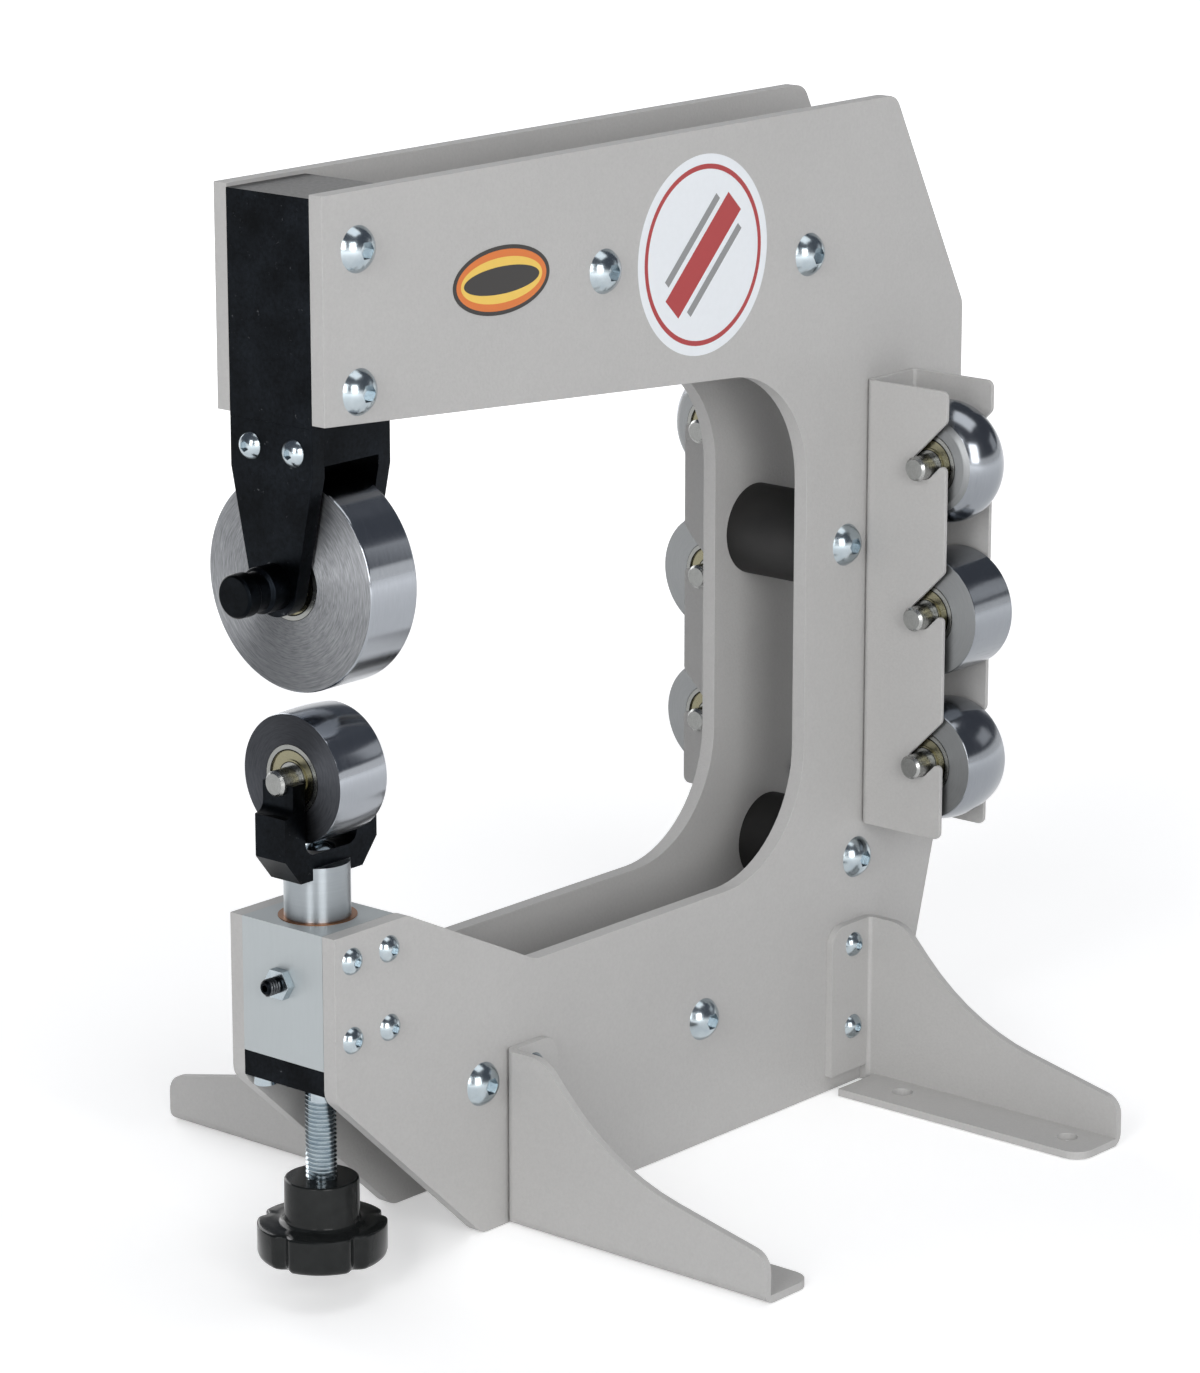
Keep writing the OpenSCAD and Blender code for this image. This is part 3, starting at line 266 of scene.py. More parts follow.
# moulded phenolic: hard black resin with a glassy skin, pitted by a fine moulding grain
def makePhenolic():
    look = {"light": "#242626", "dark": "#141616", "ior": 1.3, "rough": (0.10, 0.22),
            "flowMm": 5, "grainMm": 0.9, "bump": 0.35, "depthMm": 0.03}
    material, tree, shader, place = startMaterial("mouldedPhenolic", {"IOR": look["ior"]})
    flow = addNode(tree, "ShaderNodeTexNoise", {"Scale": 1 / (look["flowMm"] * mm), "Detail": 4},
                   {"Vector": place})
    grain = addNode(tree, "ShaderNodeTexNoise", {"Scale": 1 / (look["grainMm"] * mm), "Detail": 2},
                    {"Vector": place})
    tone = addNode(tree, "ShaderNodeMix",
                   {"data_type": "RGBA", 6: toLinear(look["dark"]), 7: toLinear(look["light"])},
                   {0: flow.outputs["Fac"]})
    rough = addNode(tree, "ShaderNodeMapRange", {"To Min": look["rough"][0], "To Max": look["rough"][1]},
                    {"Value": flow.outputs["Fac"]})
    bump = addNode(tree, "ShaderNodeBump", {"Strength": look["bump"], "Distance": look["depthMm"] * mm},
                   {"Height": grain.outputs["Fac"]})
    plug(tree, shader, {"Base Color": tone.outputs[2], "Roughness": rough.outputs[0],
                        "Normal": bump.outputs[0]})
    return material


# printed vinyl: smooth film, a very slight waviness from the paint under it
def makeVinyl(name, hexColour):
    look = {"rough": 0.32, "ior": 1.5, "waveMm": 2.5, "fade": (0.96, 1.0), "bump": 0.12, "depthMm": 0.04}
    material, tree, shader, place = startMaterial("printedVinyl." + name, {
        "Roughness": look["rough"], "IOR": look["ior"]})
    wave = addNode(tree, "ShaderNodeTexNoise", {"Scale": 1 / (look["waveMm"] * mm), "Detail": 1},
                   {"Vector": place})
    fade = addNode(tree, "ShaderNodeMapRange", {"To Min": look["fade"][0], "To Max": look["fade"][1]},
                   {"Value": wave.outputs["Fac"]})
    tone = addNode(tree, "ShaderNodeMix", {"data_type": "RGBA", 6: (0, 0, 0, 1), 7: toLinear(hexColour)},
                   {0: fade.outputs[0]})
    bump = addNode(tree, "ShaderNodeBump", {"Strength": look["bump"], "Distance": look["depthMm"] * mm},
                   {"Height": wave.outputs["Fac"]})
    plug(tree, shader, {"Base Color": tone.outputs[2], "Normal": bump.outputs[0]})
    return material


powderCoat = makePowderCoat()
# black oxide: blue-black on milled steel, nearly black head on and pale at a glancing angle
blackOxide = makeBlackSteel("blackOxideSteel", {
    "light": "#1a1e23", "dark": "#090b0d", "rub": "#6a6d70", "metallic": 1.0, "rough": (0.24, 0.42),
    "bump": 0.25, "depthMm": 0.03, "grainMm": 1.6, "cloudMm": 16, "rubMm": 3, "rubShare": 0.5})
# rubbed oxide: the same skin on a thread's crests, worn grey by handling
rubbedOxide = makeBlackSteel("rubbedOxideSteel", {
    "light": "#6a6c6e", "dark": "#34373a", "rub": "#8a8c8e", "metallic": 1.0, "rough": (0.24, 0.42),
    "bump": 0.25, "depthMm": 0.03, "grainMm": 0.8, "cloudMm": 4, "rubMm": 1.5, "rubShare": 0.6})
# hot rolled bar: a dull brown-black scale that spreads the light
rolledBar = makeBlackSteel("hotRolledSteel", {
    "light": "#1b1a19", "dark": "#0d0c0c", "rub": "#3c3934", "metallic": 0.0, "rough": (0.5, 0.7),
    "bump": 0.5, "depthMm": 0.06, "grainMm": 1.1, "cloudMm": 12, "rubMm": 4, "rubShare": 0.4})
zincPlate = makeZincPlate()
phenolic = makePhenolic()
# milled aluminium: pale matt metal that spreads the light, cutter lines barely show
milledAluminium = makeLinedMetal("milledAluminium", {
    "light": "#bac0c2", "dark": "#b0b6b8", "linesMm": (1.2, 1.2, 14), "rough": 0.5, "bump": 0.06,
    "metallic": 0.55, "stretch": 0.0})
# ground post: grinding runs round the bar, so the lamps smear into upright stripes
groundPost = makeLinedMetal("groundPostSteel", {
    "light": "#a8aeb2", "dark": "#9ca2a6", "linesMm": (20, 20, 0.8), "rough": 0.33, "bump": 0.012,
    "metallic": 1.0, "stretch": 0.88})
# sintered bronze: warm brown porous bearing metal
sinteredBronze = makeLinedMetal("sinteredBronze", {
    "light": "#a8744c", "dark": "#7f5334", "linesMm": (0.9, 0.9, 0.9), "rough": 0.38, "bump": 0.2,
    "metallic": 1.0, "stretch": 0.0})
print("materials made")

easing = {
    "weldMm": 0.002, "flatDeg": 0.6, "edgeDeg": 40, "segments": 2, "sharpDeg": 28,
    "radiusMm": {
        "right_side_plate": 0.7, "left_side_plate": 0.7,
        "right_front_foot": 0.5, "left_front_foot": 0.5, "right_rear_foot": 0.5, "left_rear_foot": 0.5,
        "right_anvil_rack": 0.4, "left_anvil_rack": 0.4,
        "head_block": 0.3, "front_cheek": 0.3, "rear_cheek": 0.3, "guide_block": 0.3, "thrust_plate": 0.3,
        "ram_fork": 0.4, "upper_axle": 0.3, "key_jam_nut": 0.25},
    "wheelRadiusMm": 0.5,
}


# one tree welds a solid's loose triangles, the other keeps flat faces flat and round ones round
def makeWeldTree():
    tree = bpy.data.node_groups.new("weldTriangles", "GeometryNodeTree")
    tree.interface.new_socket("Solid", in_out="INPUT", socket_type="NodeSocketGeometry")
    tree.interface.new_socket("Welded", in_out="OUTPUT", socket_type="NodeSocketGeometry")
    start = addNode(tree, "NodeGroupInput")
    bare = addNode(tree, "GeometryNodeRemoveAttribute", {"Name": "custom_normal"},
                   {"Geometry": start.outputs[0]})
    weld = addNode(tree, "GeometryNodeMergeByDistance", {"Distance": easing["weldMm"] * mm},
                   {"Geometry": bare.outputs[0]})
    addNode(tree, "NodeGroupOutput", {}, {0: weld.outputs[0]})
    return tree


def makeShadeTree():
    tree = bpy.data.node_groups.new("shadeByAngle", "GeometryNodeTree")
    tree.interface.new_socket("Eased", in_out="INPUT", socket_type="NodeSocketGeometry")
    tree.interface.new_socket("Shaded", in_out="OUTPUT", socket_type="NodeSocketGeometry")
    start = addNode(tree, "NodeGroupInput")
    angle = addNode(tree, "GeometryNodeInputMeshEdgeAngle")
    sharp = addNode(tree, "FunctionNodeCompare",
                    {"operation": "GREATER_THAN", 1: math.radians(easing["sharpDeg"])},
                    {0: angle.outputs["Unsigned Angle"]})
    smooth = addNode(tree, "GeometryNodeSetShadeSmooth", {"domain": "FACE", "Shade Smooth": True},
                     {0: start.outputs[0]})
    crisp = addNode(tree, "GeometryNodeSetShadeSmooth", {"domain": "EDGE", "Shade Smooth": False},
                    {0: smooth.outputs[0], "Selection": sharp.outputs[0]})
    addNode(tree, "NodeGroupOutput", {}, {0: crisp.outputs[0]})
    return tree


weldTree = makeWeldTree()
shadeTree = makeShadeTree()


# breaks a solid's sharp edges by a small radius, as deburring does
def easeEdges(name, radiusMm):
    solid = nodes[name]
    solid.modifiers.new("weld", "NODES").node_group = weldTree
    flat = solid.modifiers.new("flat", "DECIMATE")
    flat.decimate_type = "DISSOLVE"
    flat.angle_limit = math.radians(easing["flatDeg"])
    ease = solid.modifiers.new("ease", "BEVEL")
    ease.width = radiusMm * mm
    ease.segments = easing["segments"]
    ease.limit_method = "ANGLE"
    ease.angle_limit = math.radians(easing["edgeDeg"])
    ease.use_clamp_overlap = True
    solid.modifiers.new("shade", "NODES").node_group = shadeTree
    even = solid.modifiers.new("even", "WEIGHTED_NORMAL")  # large flat faces stay flat up to the eased edge
    even.keep_sharp = True


def dress(name, material):
    nodes[name].material_slots[0].material = material


for name, radiusMm in easing["radiusMm"].items():
    easeEdges(name, radiusMm)

for name in nodes:
    if name.endswith(("_side_plate", "_foot", "_anvil_rack")):
        dress(name, powderCoat)
    elif name.endswith("_screws") or name in ("key_jam_nut", "fork_screw", "adjuster_screw"):
        dress(name, zincPlate)
    else:
        dress(name, blackOxide)
dress("frame_spacers", rolledBar)
dress("guide_block", milledAluminium)
dress("guide_bush", sinteredBronze)
dress("ram_post", groundPost)
dress("adjuster_knob", phenolic)


def middleOf(name):
    low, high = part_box(name)
    return (low + high) / 2


# scratches finer than half a millimetre would be lost in a picture, so they are drawn about that wide
turnedLooks = {
    "upper_wheel": {
        "faceLight": "#cacccf", "faceDark": "#484a4e", "faceRough": 0.62, "faceBump": 0.45,
        "rimLight": "#a9adb3", "rimDark": "#989ca2", "rimRough": 0.15, "rimBump": 0.02,
        "lineMm": 0.5, "arcs": 6, "stretch": 0.9},
    "anvil_wheel": {
        "faceLight": "#5e6065", "faceDark": "#303236", "faceRough": 0.58, "faceBump": 0.25,
        "rimLight": "#a9adb3", "rimDark": "#9a9ea4", "rimRough": 0.15, "rimBump": 0.02,
        "lineMm": 0.5, "arcs": 4, "stretch": 0.85},
    "spare_wheel": {
        "faceLight": "#989a9b", "faceDark": "#868889", "faceRough": 0.42, "faceBump": 0.05,
        "rimLight": "#989ca1", "rimDark": "#8a8e94", "rimRough": 0.18, "rimBump": 0.0,
        "lineMm": 0.6, "arcs": 3, "stretch": 0.4},
    "pin": {
        "faceLight": "#a2a3a1", "faceDark": "#80817f", "faceRough": 0.38, "faceBump": 0.2,
        "rimLight": "#b3b4b2", "rimDark": "#9b9c9a", "rimRough": 0.26, "rimBump": 0.06,
        "lineMm": 0.7, "arcs": 1.5, "stretch": 0.3},
}
bearingMm = {"upper_wheel_bearings": (12, 28), "anvil": (10, 26)}  # bore and outside
for name in nodes:
    if name.endswith("_wheel"):
        wheelLook = turnedLooks.get(name, turnedLooks["spare_wheel"])
        dress(name, makeTurnedSteel(name, middleOf(name), wheelLook))
        easeEdges(name, easing["wheelRadiusMm"])
    elif name.endswith("_pin"):
        dress(name, makeTurnedSteel(name, middleOf(name), turnedLooks["pin"]))
    elif name.endswith("_bearings"):
        boreMm, outerMm = bearingMm.get(name, bearingMm["anvil"])
        dress(name, makeBearingSteel(name, middleOf(name), boreMm, outerMm))
print("solids dressed")

threadForm = {"footShare": 0.9, "crestShare": 0.16, "roundSteps": 36, "shadeDeg": 25}  # shares of the pitch


# helical thread: a spiral swept with a ridge, over a plain core if there is none yet, upright at the origin
def makeThreadTree():
    tree = bpy.data.node_groups.new("screwThread", "GeometryNodeTree")
    for name, kind in (("Core Radius", "NodeSocketFloat"), ("Ridge Height", "NodeSocketFloat"),
                       ("Pitch", "NodeSocketFloat"), ("Length", "NodeSocketFloat"),
                       ("Own Core", "NodeSocketBool"), ("Finish", "NodeSocketMaterial")):
        tree.interface.new_socket(name, in_out="INPUT", socket_type=kind)
    tree.interface.new_socket("Thread", in_out="OUTPUT", socket_type="NodeSocketGeometry")
    start = addNode(tree, "NodeGroupInput").outputs
    turns = addNode(tree, "ShaderNodeMath", {"operation": "DIVIDE"}, {0: start["Length"], 1: start["Pitch"]})
    spiral = addNode(tree, "GeometryNodeCurveSpiral", {"Resolution": threadForm["roundSteps"]},
                     {"Rotations": turns.outputs[0], "Start Radius": start["Core Radius"],
                      "End Radius": start["Core Radius"], "Height": start["Length"]})
    upright = addNode(tree, "GeometryNodeSetCurveNormal", {"mode": "Z_UP"}, {0: spiral.outputs[0]})
    foot = addNode(tree, "ShaderNodeMath", {"operation": "MULTIPLY", 1: threadForm["footShare"]},
                   {0: start["Pitch"]})
    crest = addNode(tree, "ShaderNodeMath", {"operation": "MULTIPLY", 1: threadForm["crestShare"]},
                    {0: start["Pitch"]})
    ridge = addNode(tree, "GeometryNodeCurvePrimitiveQuadrilateral", {"mode": "TRAPEZOID", "Offset": 0},
                    {"Bottom Width": foot.outputs[0], "Top Width": crest.outputs[0],
                     "Height": start["Ridge Height"]})
    halfRidge = addNode(tree, "ShaderNodeMath", {"operation": "MULTIPLY", 1: 0.5}, {0: start["Ridge Height"]})
    outward = addNode(tree, "ShaderNodeCombineXYZ", {}, {1: halfRidge.outputs[0]})
    seated = addNode(tree, "GeometryNodeTransform", {},
                     {0: ridge.outputs[0], "Translation": outward.outputs[0]})
    turned = addNode(tree, "GeometryNodeTransform", {"Rotation": (0, 0, math.radians(90))},
                     {0: seated.outputs[0]})
    sweep = addNode(tree, "GeometryNodeCurveToMesh", {"Fill Caps": True},
                    {"Curve": upright.outputs[0], "Profile Curve": turned.outputs[0]})
    core = addNode(tree, "GeometryNodeMeshCylinder", {"Vertices": threadForm["roundSteps"]},
                   {"Radius": start["Core Radius"], "Depth": start["Length"]})
    halfLength = addNode(tree, "ShaderNodeMath", {"operation": "MULTIPLY", 1: 0.5}, {0: start["Length"]})
    raised = addNode(tree, "ShaderNodeCombineXYZ", {}, {2: halfLength.outputs[0]})
    lifted = addNode(tree, "GeometryNodeTransform", {},
                     {0: core.outputs[0], "Translation": raised.outputs[0]})
    inside = addNode(tree, "GeometryNodeSwitch", {"input_type": "GEOMETRY"},
                     {0: start["Own Core"], 2: lifted.outputs[0]})
    both = addNode(tree, "GeometryNodeJoinGeometry")
    for part in (sweep, inside):
        tree.links.new(part.outputs[0], both.inputs[0])
    real = addNode(tree, "GeometryNodeRealizeInstances", {}, {0: both.outputs[0]})
    coated = addNode(tree, "GeometryNodeSetMaterial", {}, {0: real.outputs[0], "Material": start["Finish"]})
    addNode(tree, "NodeGroupOutput", {}, {0: coated.outputs[0]})
    return tree


threadTree = makeThreadTree()


def bakeTree(name, tree, values, place):
    holder = bpy.data.objects.new(name, bpy.data.meshes.new(name))
    bpy.context.scene.collection.objects.link(holder)
    modifier = holder.modifiers.new("tree", "NODES")
    modifier.node_group = tree
    for item in tree.interface.items_tree:
        if item.in_out == "INPUT" and item.name in values:
            modifier[item.identifier] = values[item.name]
    evaluated = holder.evaluated_get(bpy.context.evaluated_depsgraph_get())
    mesh = bpy.data.meshes.new_from_object(evaluated)
    holder.modifiers.remove(modifier)
    holder.data = mesh
    for slot in reversed(range(len(mesh.materials))):  # the primitives leave an empty slot behind
        if mesh.materials[slot] is None:
            mesh.materials.pop(index=slot)
    mesh.transform(place)
    return holder


def shadeByAngle(mesh, degrees):
    mesh.shade_smooth()
    mesh.set_sharp_from_angle(angle=math.radians(degrees))


# adjuster screw: the whole length is threaded
adjuster = {"majorMm": 12, "pitchMm": 1.75, "ridgeMm": 1.05, "clearMm": 1}
low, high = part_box("adjuster_screw")
thread = bakeTree("adjusterThread", threadTree, {
    "Core Radius": (adjuster["majorMm"] / 2 - adjuster["ridgeMm"]) * mm,
    "Ridge Height": adjuster["ridgeMm"] * mm, "Pitch": adjuster["pitchMm"] * mm,
    "Length": high.z - low.z - 2 * adjuster["clearMm"] * mm, "Own Core": True, "Finish": zincPlate,
}, Matrix.Translation(((low.x + high.x) / 2, (low.y + high.y) / 2, low.z + adjuster["clearMm"] * mm)))
shadeByAngle(thread.data, threadForm["shadeDeg"])
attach(thread, "adjuster")
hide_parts("adjuster_screw")
print("thread made:", len(thread.data.polygons), "faces")

# set screw: a ridge on the part in front of the nut
# its real pitch is 1 mm, drawn a little coarser so that it shows
setScrew = {"pitchMm": 1.25, "ridgeMm": 0.4, "sunkMm": 0.1, "clearMm": 0.9}
low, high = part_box("key_set_screw")
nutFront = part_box("key_jam_nut")[0].x
setScrewRidge = bakeTree("setScrewRidge", threadTree, {
    "Core Radius": (high.z - low.z) / 2 - setScrew["sunkMm"] * mm,
    "Ridge Height": setScrew["ridgeMm"] * mm, "Pitch": setScrew["pitchMm"] * mm,
    "Length": nutFront - low.x - 2 * setScrew["clearMm"] * mm, "Own Core": False, "Finish": rubbedOxide,
}, Matrix.Translation((low.x + setScrew["clearMm"] * mm, (low.y + high.y) / 2, (low.z + high.z) / 2))
    @ Matrix.Rotation(math.radians(90), 4, "Y"))
shadeByAngle(setScrewRidge.data, threadForm["shadeDeg"])
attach(setScrewRidge, "frame")
print("set screw threaded")

# hand knob: lathe outline from the bottom up as [radius, height, groove share]
knob = {
    "outlineMm": [
        (0, 1.2, 0), (9, 1.0, 0), (10.5, 0.2, 0.1), (20.0, 0, 0.7), (21.8, 0.1, 0.9), (23.4, 0.7, 1),
        (24.5, 1.8, 1), (25, 3.4, 1), (25, 13.2, 1), (24.9, 13.9, 1), (24.5, 14.3, 1), (23.9, 14.5, 1),
        (20.0, 14.6, 0.6), (17.0, 14.7, 0), (15.6, 15.0, 0), (14.8, 15.7, 0), (14.5, 16.8, 0),
        (14.4, 31.0, 0), (14.2, 31.7, 0), (13.6, 32.1, 0), (6.15, 32.1, 0), (6.1, 24.0, 0)],
    "lobes": 5, "lobeShare": 0.70, "grooveMm": 2.4, "turnDeg": 184.5, "steps": 180,
    "weldMm": 0.0005, "shadeDeg": 32,
}


def makeKnob(look):
    shape = bmesh.new()
    lobe = 360 / look["lobes"]
    rings = []
    for radius, height, share in look["outlineMm"]:
        ring = []
        for step in range(look["steps"]):
            angle = 360 * step / look["steps"]
            off = abs(angle % lobe - lobe / 2) / (lobe / 2)
            valley = max(0, off - look["lobeShare"]) / (1 - look["lobeShare"])
            reach = radius - share * look["grooveMm"] * (1 - math.cos(math.pi * valley)) / 2
            turn = math.radians(angle + look["turnDeg"])
            place = (reach * mm * math.cos(turn), reach * mm * math.sin(turn), height * mm)
            ring.append(shape.verts.new(place))
        rings.append(ring)
    for below, above in zip(rings, rings[1:]):
        for i in range(look["steps"]):
            j = (i + 1) % look["steps"]
            shape.faces.new((below[i], below[j], above[j], above[i]))
    shape.faces.new(rings[-1])
    bmesh.ops.remove_doubles(shape, verts=shape.verts, dist=look["weldMm"] * mm)
    bmesh.ops.recalc_face_normals(shape, faces=shape.faces)
    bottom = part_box("adjuster_knob")[0].z
    bmesh.ops.translate(shape, verts=shape.verts, vec=(middleOf("ram_post").x, 0, bottom))
    mesh = bpy.data.meshes.new("knobGrip")
    shape.to_mesh(mesh)
    shape.free()
    mesh.materials.append(phenolic)
    shadeByAngle(mesh, look["shadeDeg"])
    piece = bpy.data.objects.new("knobGrip", mesh)
    bpy.context.scene.collection.objects.link(piece)
    return piece


knobPiece = makeKnob(knob)
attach(knobPiece, "adjuster")
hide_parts("adjuster_knob")
print("knob made")

# plain printed discs on the right plate, places from the plate's front and the bench
badge = {"liftMm": 0.12, "printMm": 0.02, "steps": 96}  # film, each printed layer on it, corners round it
roundBadge = {
    "centreMm": (214, 366.7), "radiusMm": 39.5, "ringMm": (35.6, 33.6), "slopeDeg": 45,
    # each bar's offset, half length, half width and finish
    "barsMm": [(0, 27, 5.5, 1), (9.5, 22, 1.6, 2), (-9.5, 22, 1.6, 2)]}
ovalBadge = {
    "centreMm": (96, 372.9), "radiiMm": (27, 13),
    # each layer's share of the two radii and its finish
    "layers": [(0.93, 0.88, 1), (0.84, 0.66, 2), (0.78, 0.40, 0)]}
plateFront, plateFace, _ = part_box("right_side_plate")[0]
roundFinishes = [makeVinyl("white", "#e8ecf0"), makeVinyl("red", "#a8282a"), makeVinyl("grey", "#8a8b8c")]
ovalFinishes = [makeVinyl("black", "#1b1714"), makeVinyl("orange", "#d9742a"), makeVinyl("yellow", "#ecc558")]


# lengths in the badge functions are in millimetres
def addLoop(shape, radii, depth):
    loop = []
    for step in range(badge["steps"]):
        angle = 2 * math.pi * step / badge["steps"]
        place = (radii[0] * mm * math.cos(angle), -depth * mm, radii[1] * mm * math.sin(angle))
        loop.append(shape.verts.new(place))
    return loop


def addDisc(shape, radii, depth, finish):
    loop = addLoop(shape, radii, depth)
    shape.faces.new(loop).material_index = finish
    return loop


def bridge(shape, first, second, finish):
    for i in range(len(first)):
        j = (i + 1) % len(first)
        shape.faces.new((first[i], first[j], second[j], second[i])).material_index = finish


# the film itself: a disc with a thin edge down to the paint
def addFilm(shape, radii):
    rim = addDisc(shape, radii, badge["liftMm"], 0)
    base = [shape.verts.new((v.co.x, v.co.y + badge["liftMm"] * mm, v.co.z)) for v in rim]
    bridge(shape, base, rim, 0)


def addBar(shape, offset, half, slopeDeg, depth, finish):
    slope = math.radians(slopeDeg)
    corners = []
    for x, z in ((-half[0], -half[1]), (half[0], -half[1]), (half[0], half[1]), (-half[0], half[1])):
        along = x * math.cos(slope) - (z + offset) * math.sin(slope)
        up = x * math.sin(slope) + (z + offset) * math.cos(slope)
        corners.append(shape.verts.new((along * mm, -depth * mm, up * mm)))
    shape.faces.new(corners).material_index = finish


def finishBadge(name, shape, centreMm, finishes):
    mesh = bpy.data.meshes.new(name)
    bmesh.ops.translate(shape, verts=shape.verts,
                        vec=(plateFront + centreMm[0] * mm, plateFace, centreMm[1] * mm))
    shape.to_mesh(mesh)
    shape.free()
    for finish in finishes:
        mesh.materials.append(finish)
    piece = bpy.data.objects.new(name, mesh)
    bpy.context.scene.collection.objects.link(piece)
    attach(piece, "frame")


shape = bmesh.new()
printed = badge["liftMm"] + badge["printMm"]
addFilm(shape, [roundBadge["radiusMm"]] * 2)
bridge(shape, *(addLoop(shape, [radius] * 2, printed) for radius in roundBadge["ringMm"]), 1)
for offset, length, width, finish in roundBadge["barsMm"]:
    addBar(shape, offset, (length, width), roundBadge["slopeDeg"], printed, finish)
finishBadge("roundBadge", shape, roundBadge["centreMm"], roundFinishes)

shape = bmesh.new()
wide, tall = ovalBadge["radiiMm"]
addFilm(shape, (wide, tall))
for layer, (wideShare, tallShare, finish) in enumerate(ovalBadge["layers"], 1):
    addDisc(shape, (wide * wideShare, tall * tallShare), badge["liftMm"] + layer * badge["printMm"], finish)
finishBadge("ovalBadge", shape, ovalBadge["centreMm"], ovalFinishes)
print("badges made")

# studio: pale paper on a bench, bent down in front of it where the knob hangs past the bench's edge,
# soft lamps, a dim room with a pale band low down and a backdrop behind
studio = {
    "paper": "#f4f4f4", "paperRough": 0.9, "halfM": 14,
    "benchEndMm": -129, "belowFromMm": -164.5, "benchMm": -0.3, "belowMm": -12.8,
    "bendSteps": 24, "bendShown": 0.4,
    "glowNear": 0.36, "glowFar": 1.0, "glowFromM": 0.4, "glowToM": 2.4,
    "horizon": "#ffffff", "backdrop": "#ffffff", "room": "#585c64", "fill": "#949598",
    # each pair is where a fade starts and where it is full, as parts of a heading of length one
    "backdropToward": (0.76, 0.65, 0), "backdropSide": (0.80, 0.92), "backdropTop": (0.36, 0.28),
    "horizonTop": (0.16, 0.135),
}


# one where the camera, a mirror or glass looks at the surface, nought where it lights something
def addSeen(tree):
    rays = addNode(tree, "ShaderNodeLightPath").outputs
    shiny = addNode(tree, "ShaderNodeMath", {"operation": "MAXIMUM"},
                    {0: rays["Is Glossy Ray"], 1: rays["Is Transmission Ray"]})
    seen = addNode(tree, "ShaderNodeMath", {"operation": "MAXIMUM"},
                   {0: rays["Is Camera Ray"], 1: shiny.outputs[0]})
    return seen.outputs[0]


def makeFloor():
    material, tree, shader, place = startMaterial("matPaper", {
        "Base Color": toLinear(studio["paper"]), "Roughness": studio["paperRough"],
        "Emission Color": (1, 1, 1, 1)})
    away = addNode(tree, "ShaderNodeVectorMath", {"operation": "LENGTH"}, {0: place})
    glow = addNode(tree, "ShaderNodeMapRange",
                   {"From Min": studio["glowFromM"], "From Max": studio["glowToM"],
                    "To Min": studio["glowNear"], "To Max": studio["glowFar"]},
                   {"Value": away.outputs["Value"]})
    lift = addNode(tree, "ShaderNodeMath", {"operation": "MULTIPLY"}, {0: glow.outputs[0], 1: addSeen(tree)})
    # the bend tilts only part of the way to the lamps, so that its own shade cancels it
    tilt = addNode(tree, "ShaderNodeNewGeometry").outputs["Normal"]
    level = addNode(tree, "ShaderNodeMix", {"data_type": "VECTOR", 0: studio["bendShown"], 4: (0, 0, 1)},
                    {5: tilt})
    plug(tree, shader, {"Emission Strength": lift.outputs[0], "Normal": level.outputs[1]})
    half = studio["halfM"]
    profile = [(half, studio["benchMm"] * mm)]
    for i in range(studio["bendSteps"] + 1):
        share = i / studio["bendSteps"]
        fall = (1 - math.cos(math.pi * share)) / 2
        profile.append(((studio["benchEndMm"] + (studio["belowFromMm"] - studio["benchEndMm"]) * share) * mm,
                        (studio["benchMm"] + (studio["belowMm"] - studio["benchMm"]) * fall) * mm))
    profile.append((-half, studio["belowMm"] * mm))
    mesh = bpy.data.meshes.new("floor")
    mesh.from_pydata([(x, y, z) for x, z in profile for y in (half, -half)], [],
                     [(2 * i, 2 * i + 2, 2 * i + 3, 2 * i + 1) for i in range(len(profile) - 1)])
    mesh.shade_smooth()
    mesh.materials.append(material)
    floor = bpy.data.objects.new("floor", mesh)
    bpy.context.scene.collection.objects.link(floor)


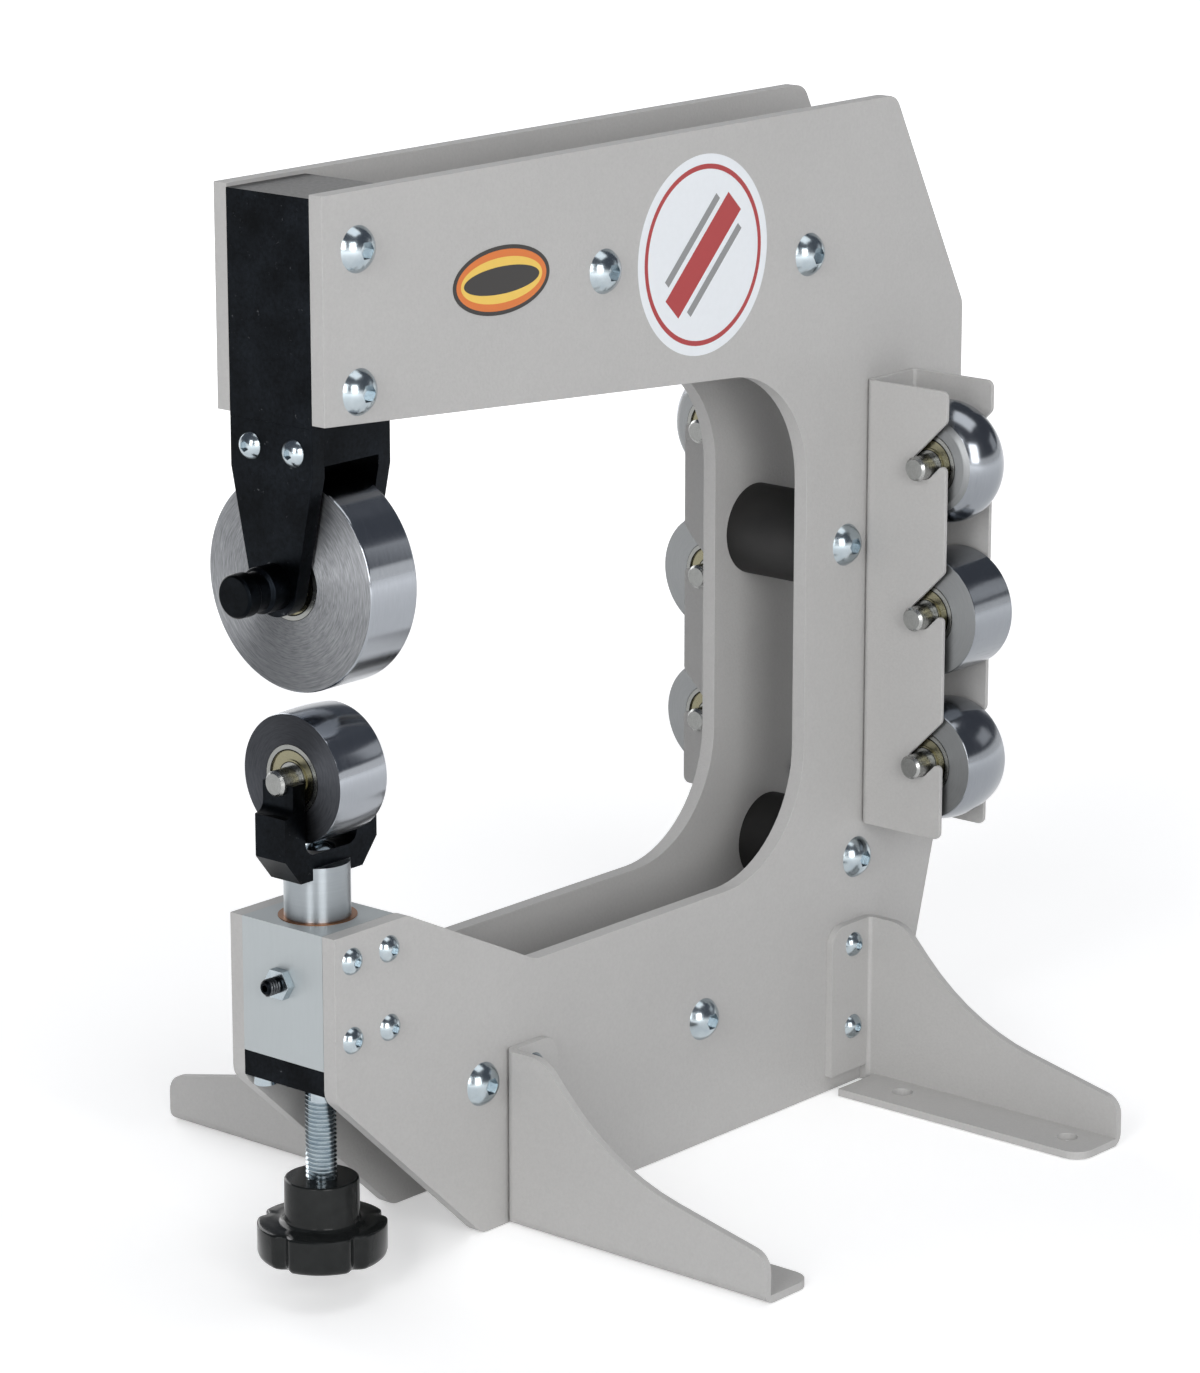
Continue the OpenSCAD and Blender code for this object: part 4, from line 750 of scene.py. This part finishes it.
def makeSky():
    world = bpy.data.worlds.new("studioRoom")
    world.use_nodes = True
    tree = world.node_tree
    tree.nodes.clear()
    heading = addNode(tree, "ShaderNodeTexCoord").outputs["Generated"]
    height = addNode(tree, "ShaderNodeSeparateXYZ", {}, {0: heading}).outputs[2]
    behind = addNode(tree, "ShaderNodeVectorMath", {"operation": "DOT_PRODUCT", 1: studio["backdropToward"]},
                     {0: heading}).outputs["Value"]
    fades = []
    for ends, source in (("backdropSide", behind), ("backdropTop", height), ("horizonTop", height)):
        start, full = studio[ends]
        fade = addNode(tree, "ShaderNodeMapRange", {"From Min": start, "From Max": full}, {"Value": source})
        fades.append(fade.outputs[0])
    onBackdrop = addNode(tree, "ShaderNodeMath", {"operation": "MULTIPLY"}, {0: fades[0], 1: fades[1]})
    upper = addNode(tree, "ShaderNodeMix",
                    {"data_type": "RGBA", 6: toLinear(studio["room"]), 7: toLinear(studio["backdrop"])},
                    {0: onBackdrop.outputs[0]})
    tone = addNode(tree, "ShaderNodeMix", {"data_type": "RGBA", 7: toLinear(studio["horizon"])},
                   {0: fades[2], 6: upper.outputs[2]})
    # the room is dim in reflections, while its pale walls and ceiling fill the shade
    light = addNode(tree, "ShaderNodeMix", {"data_type": "RGBA", 6: toLinear(studio["fill"])},
                    {0: addSeen(tree), 7: tone.outputs[2]})
    sky = addNode(tree, "ShaderNodeBackground", {}, {"Color": light.outputs[2]})
    addNode(tree, "ShaderNodeOutputWorld", {}, {"Surface": sky.outputs[0]})
    bpy.context.scene.world = world


lamps = {  # place and size in metres, power in watts
    "leftSoftbox": ((-3.93, -1.22, 1.74), (1.22, 2.45), 56),
    "frontSoftbox": ((-1.9, -3.1, 1.35), (1.6, 2.0), 57),
    "topSoftbox": ((0.1, -0.5, 2.3), (1.4, 1.4), 9),
    "rightRearSoftbox": ((1.5, -1.05, 0.85), (0.8, 0.5), 0.7),
    "leftRearSoftbox": ((0.6, 2.1, 1.1), (1.2, 1.2), 13),
}
lampAim = (-0.04, 0, 0.18)


def addLamp(name, place, size, power):
    lamp = bpy.data.lights.new(name, "AREA")
    lamp.shape = "RECTANGLE"
    lamp.size, lamp.size_y = size
    lamp.energy = power
    thing = bpy.data.objects.new(name, lamp)
    thing.location = place
    thing.rotation_mode = "QUATERNION"
    thing.rotation_quaternion = (Vector(lampAim) - Vector(place)).to_track_quat("-Z", "Y")
    bpy.context.scene.collection.objects.link(thing)


makeFloor()
makeSky()
for name, (place, size, power) in lamps.items():
    addLamp(name, place, size, power)
print("studio made")

# camera at the photograph's place
shot = {"placeM": (-1.48045, -1.24288, 0.70062), "yawDeg": 49.471, "pitchDeg": 14.821,
        "lensMm": 130.76, "sensorMm": 36}
cameraData = bpy.data.cameras.new("shot")
cameraData.lens = shot["lensMm"]
cameraData.sensor_width = shot["sensorMm"]
camera = bpy.data.objects.new("shot", cameraData)
yaw, pitch = math.radians(shot["yawDeg"]), math.radians(shot["pitchDeg"])
forward = Vector((math.sin(yaw) * math.cos(pitch), math.cos(yaw) * math.cos(pitch), -math.sin(pitch)))
camera.rotation_mode = "QUATERNION"
camera.rotation_quaternion = forward.to_track_quat("-Z", "Y")
camera.location = shot["placeM"]
bpy.context.scene.collection.objects.link(camera)
bpy.context.scene.camera = camera
bpy.context.scene.view_settings.view_transform = "Standard"
print("camera set")
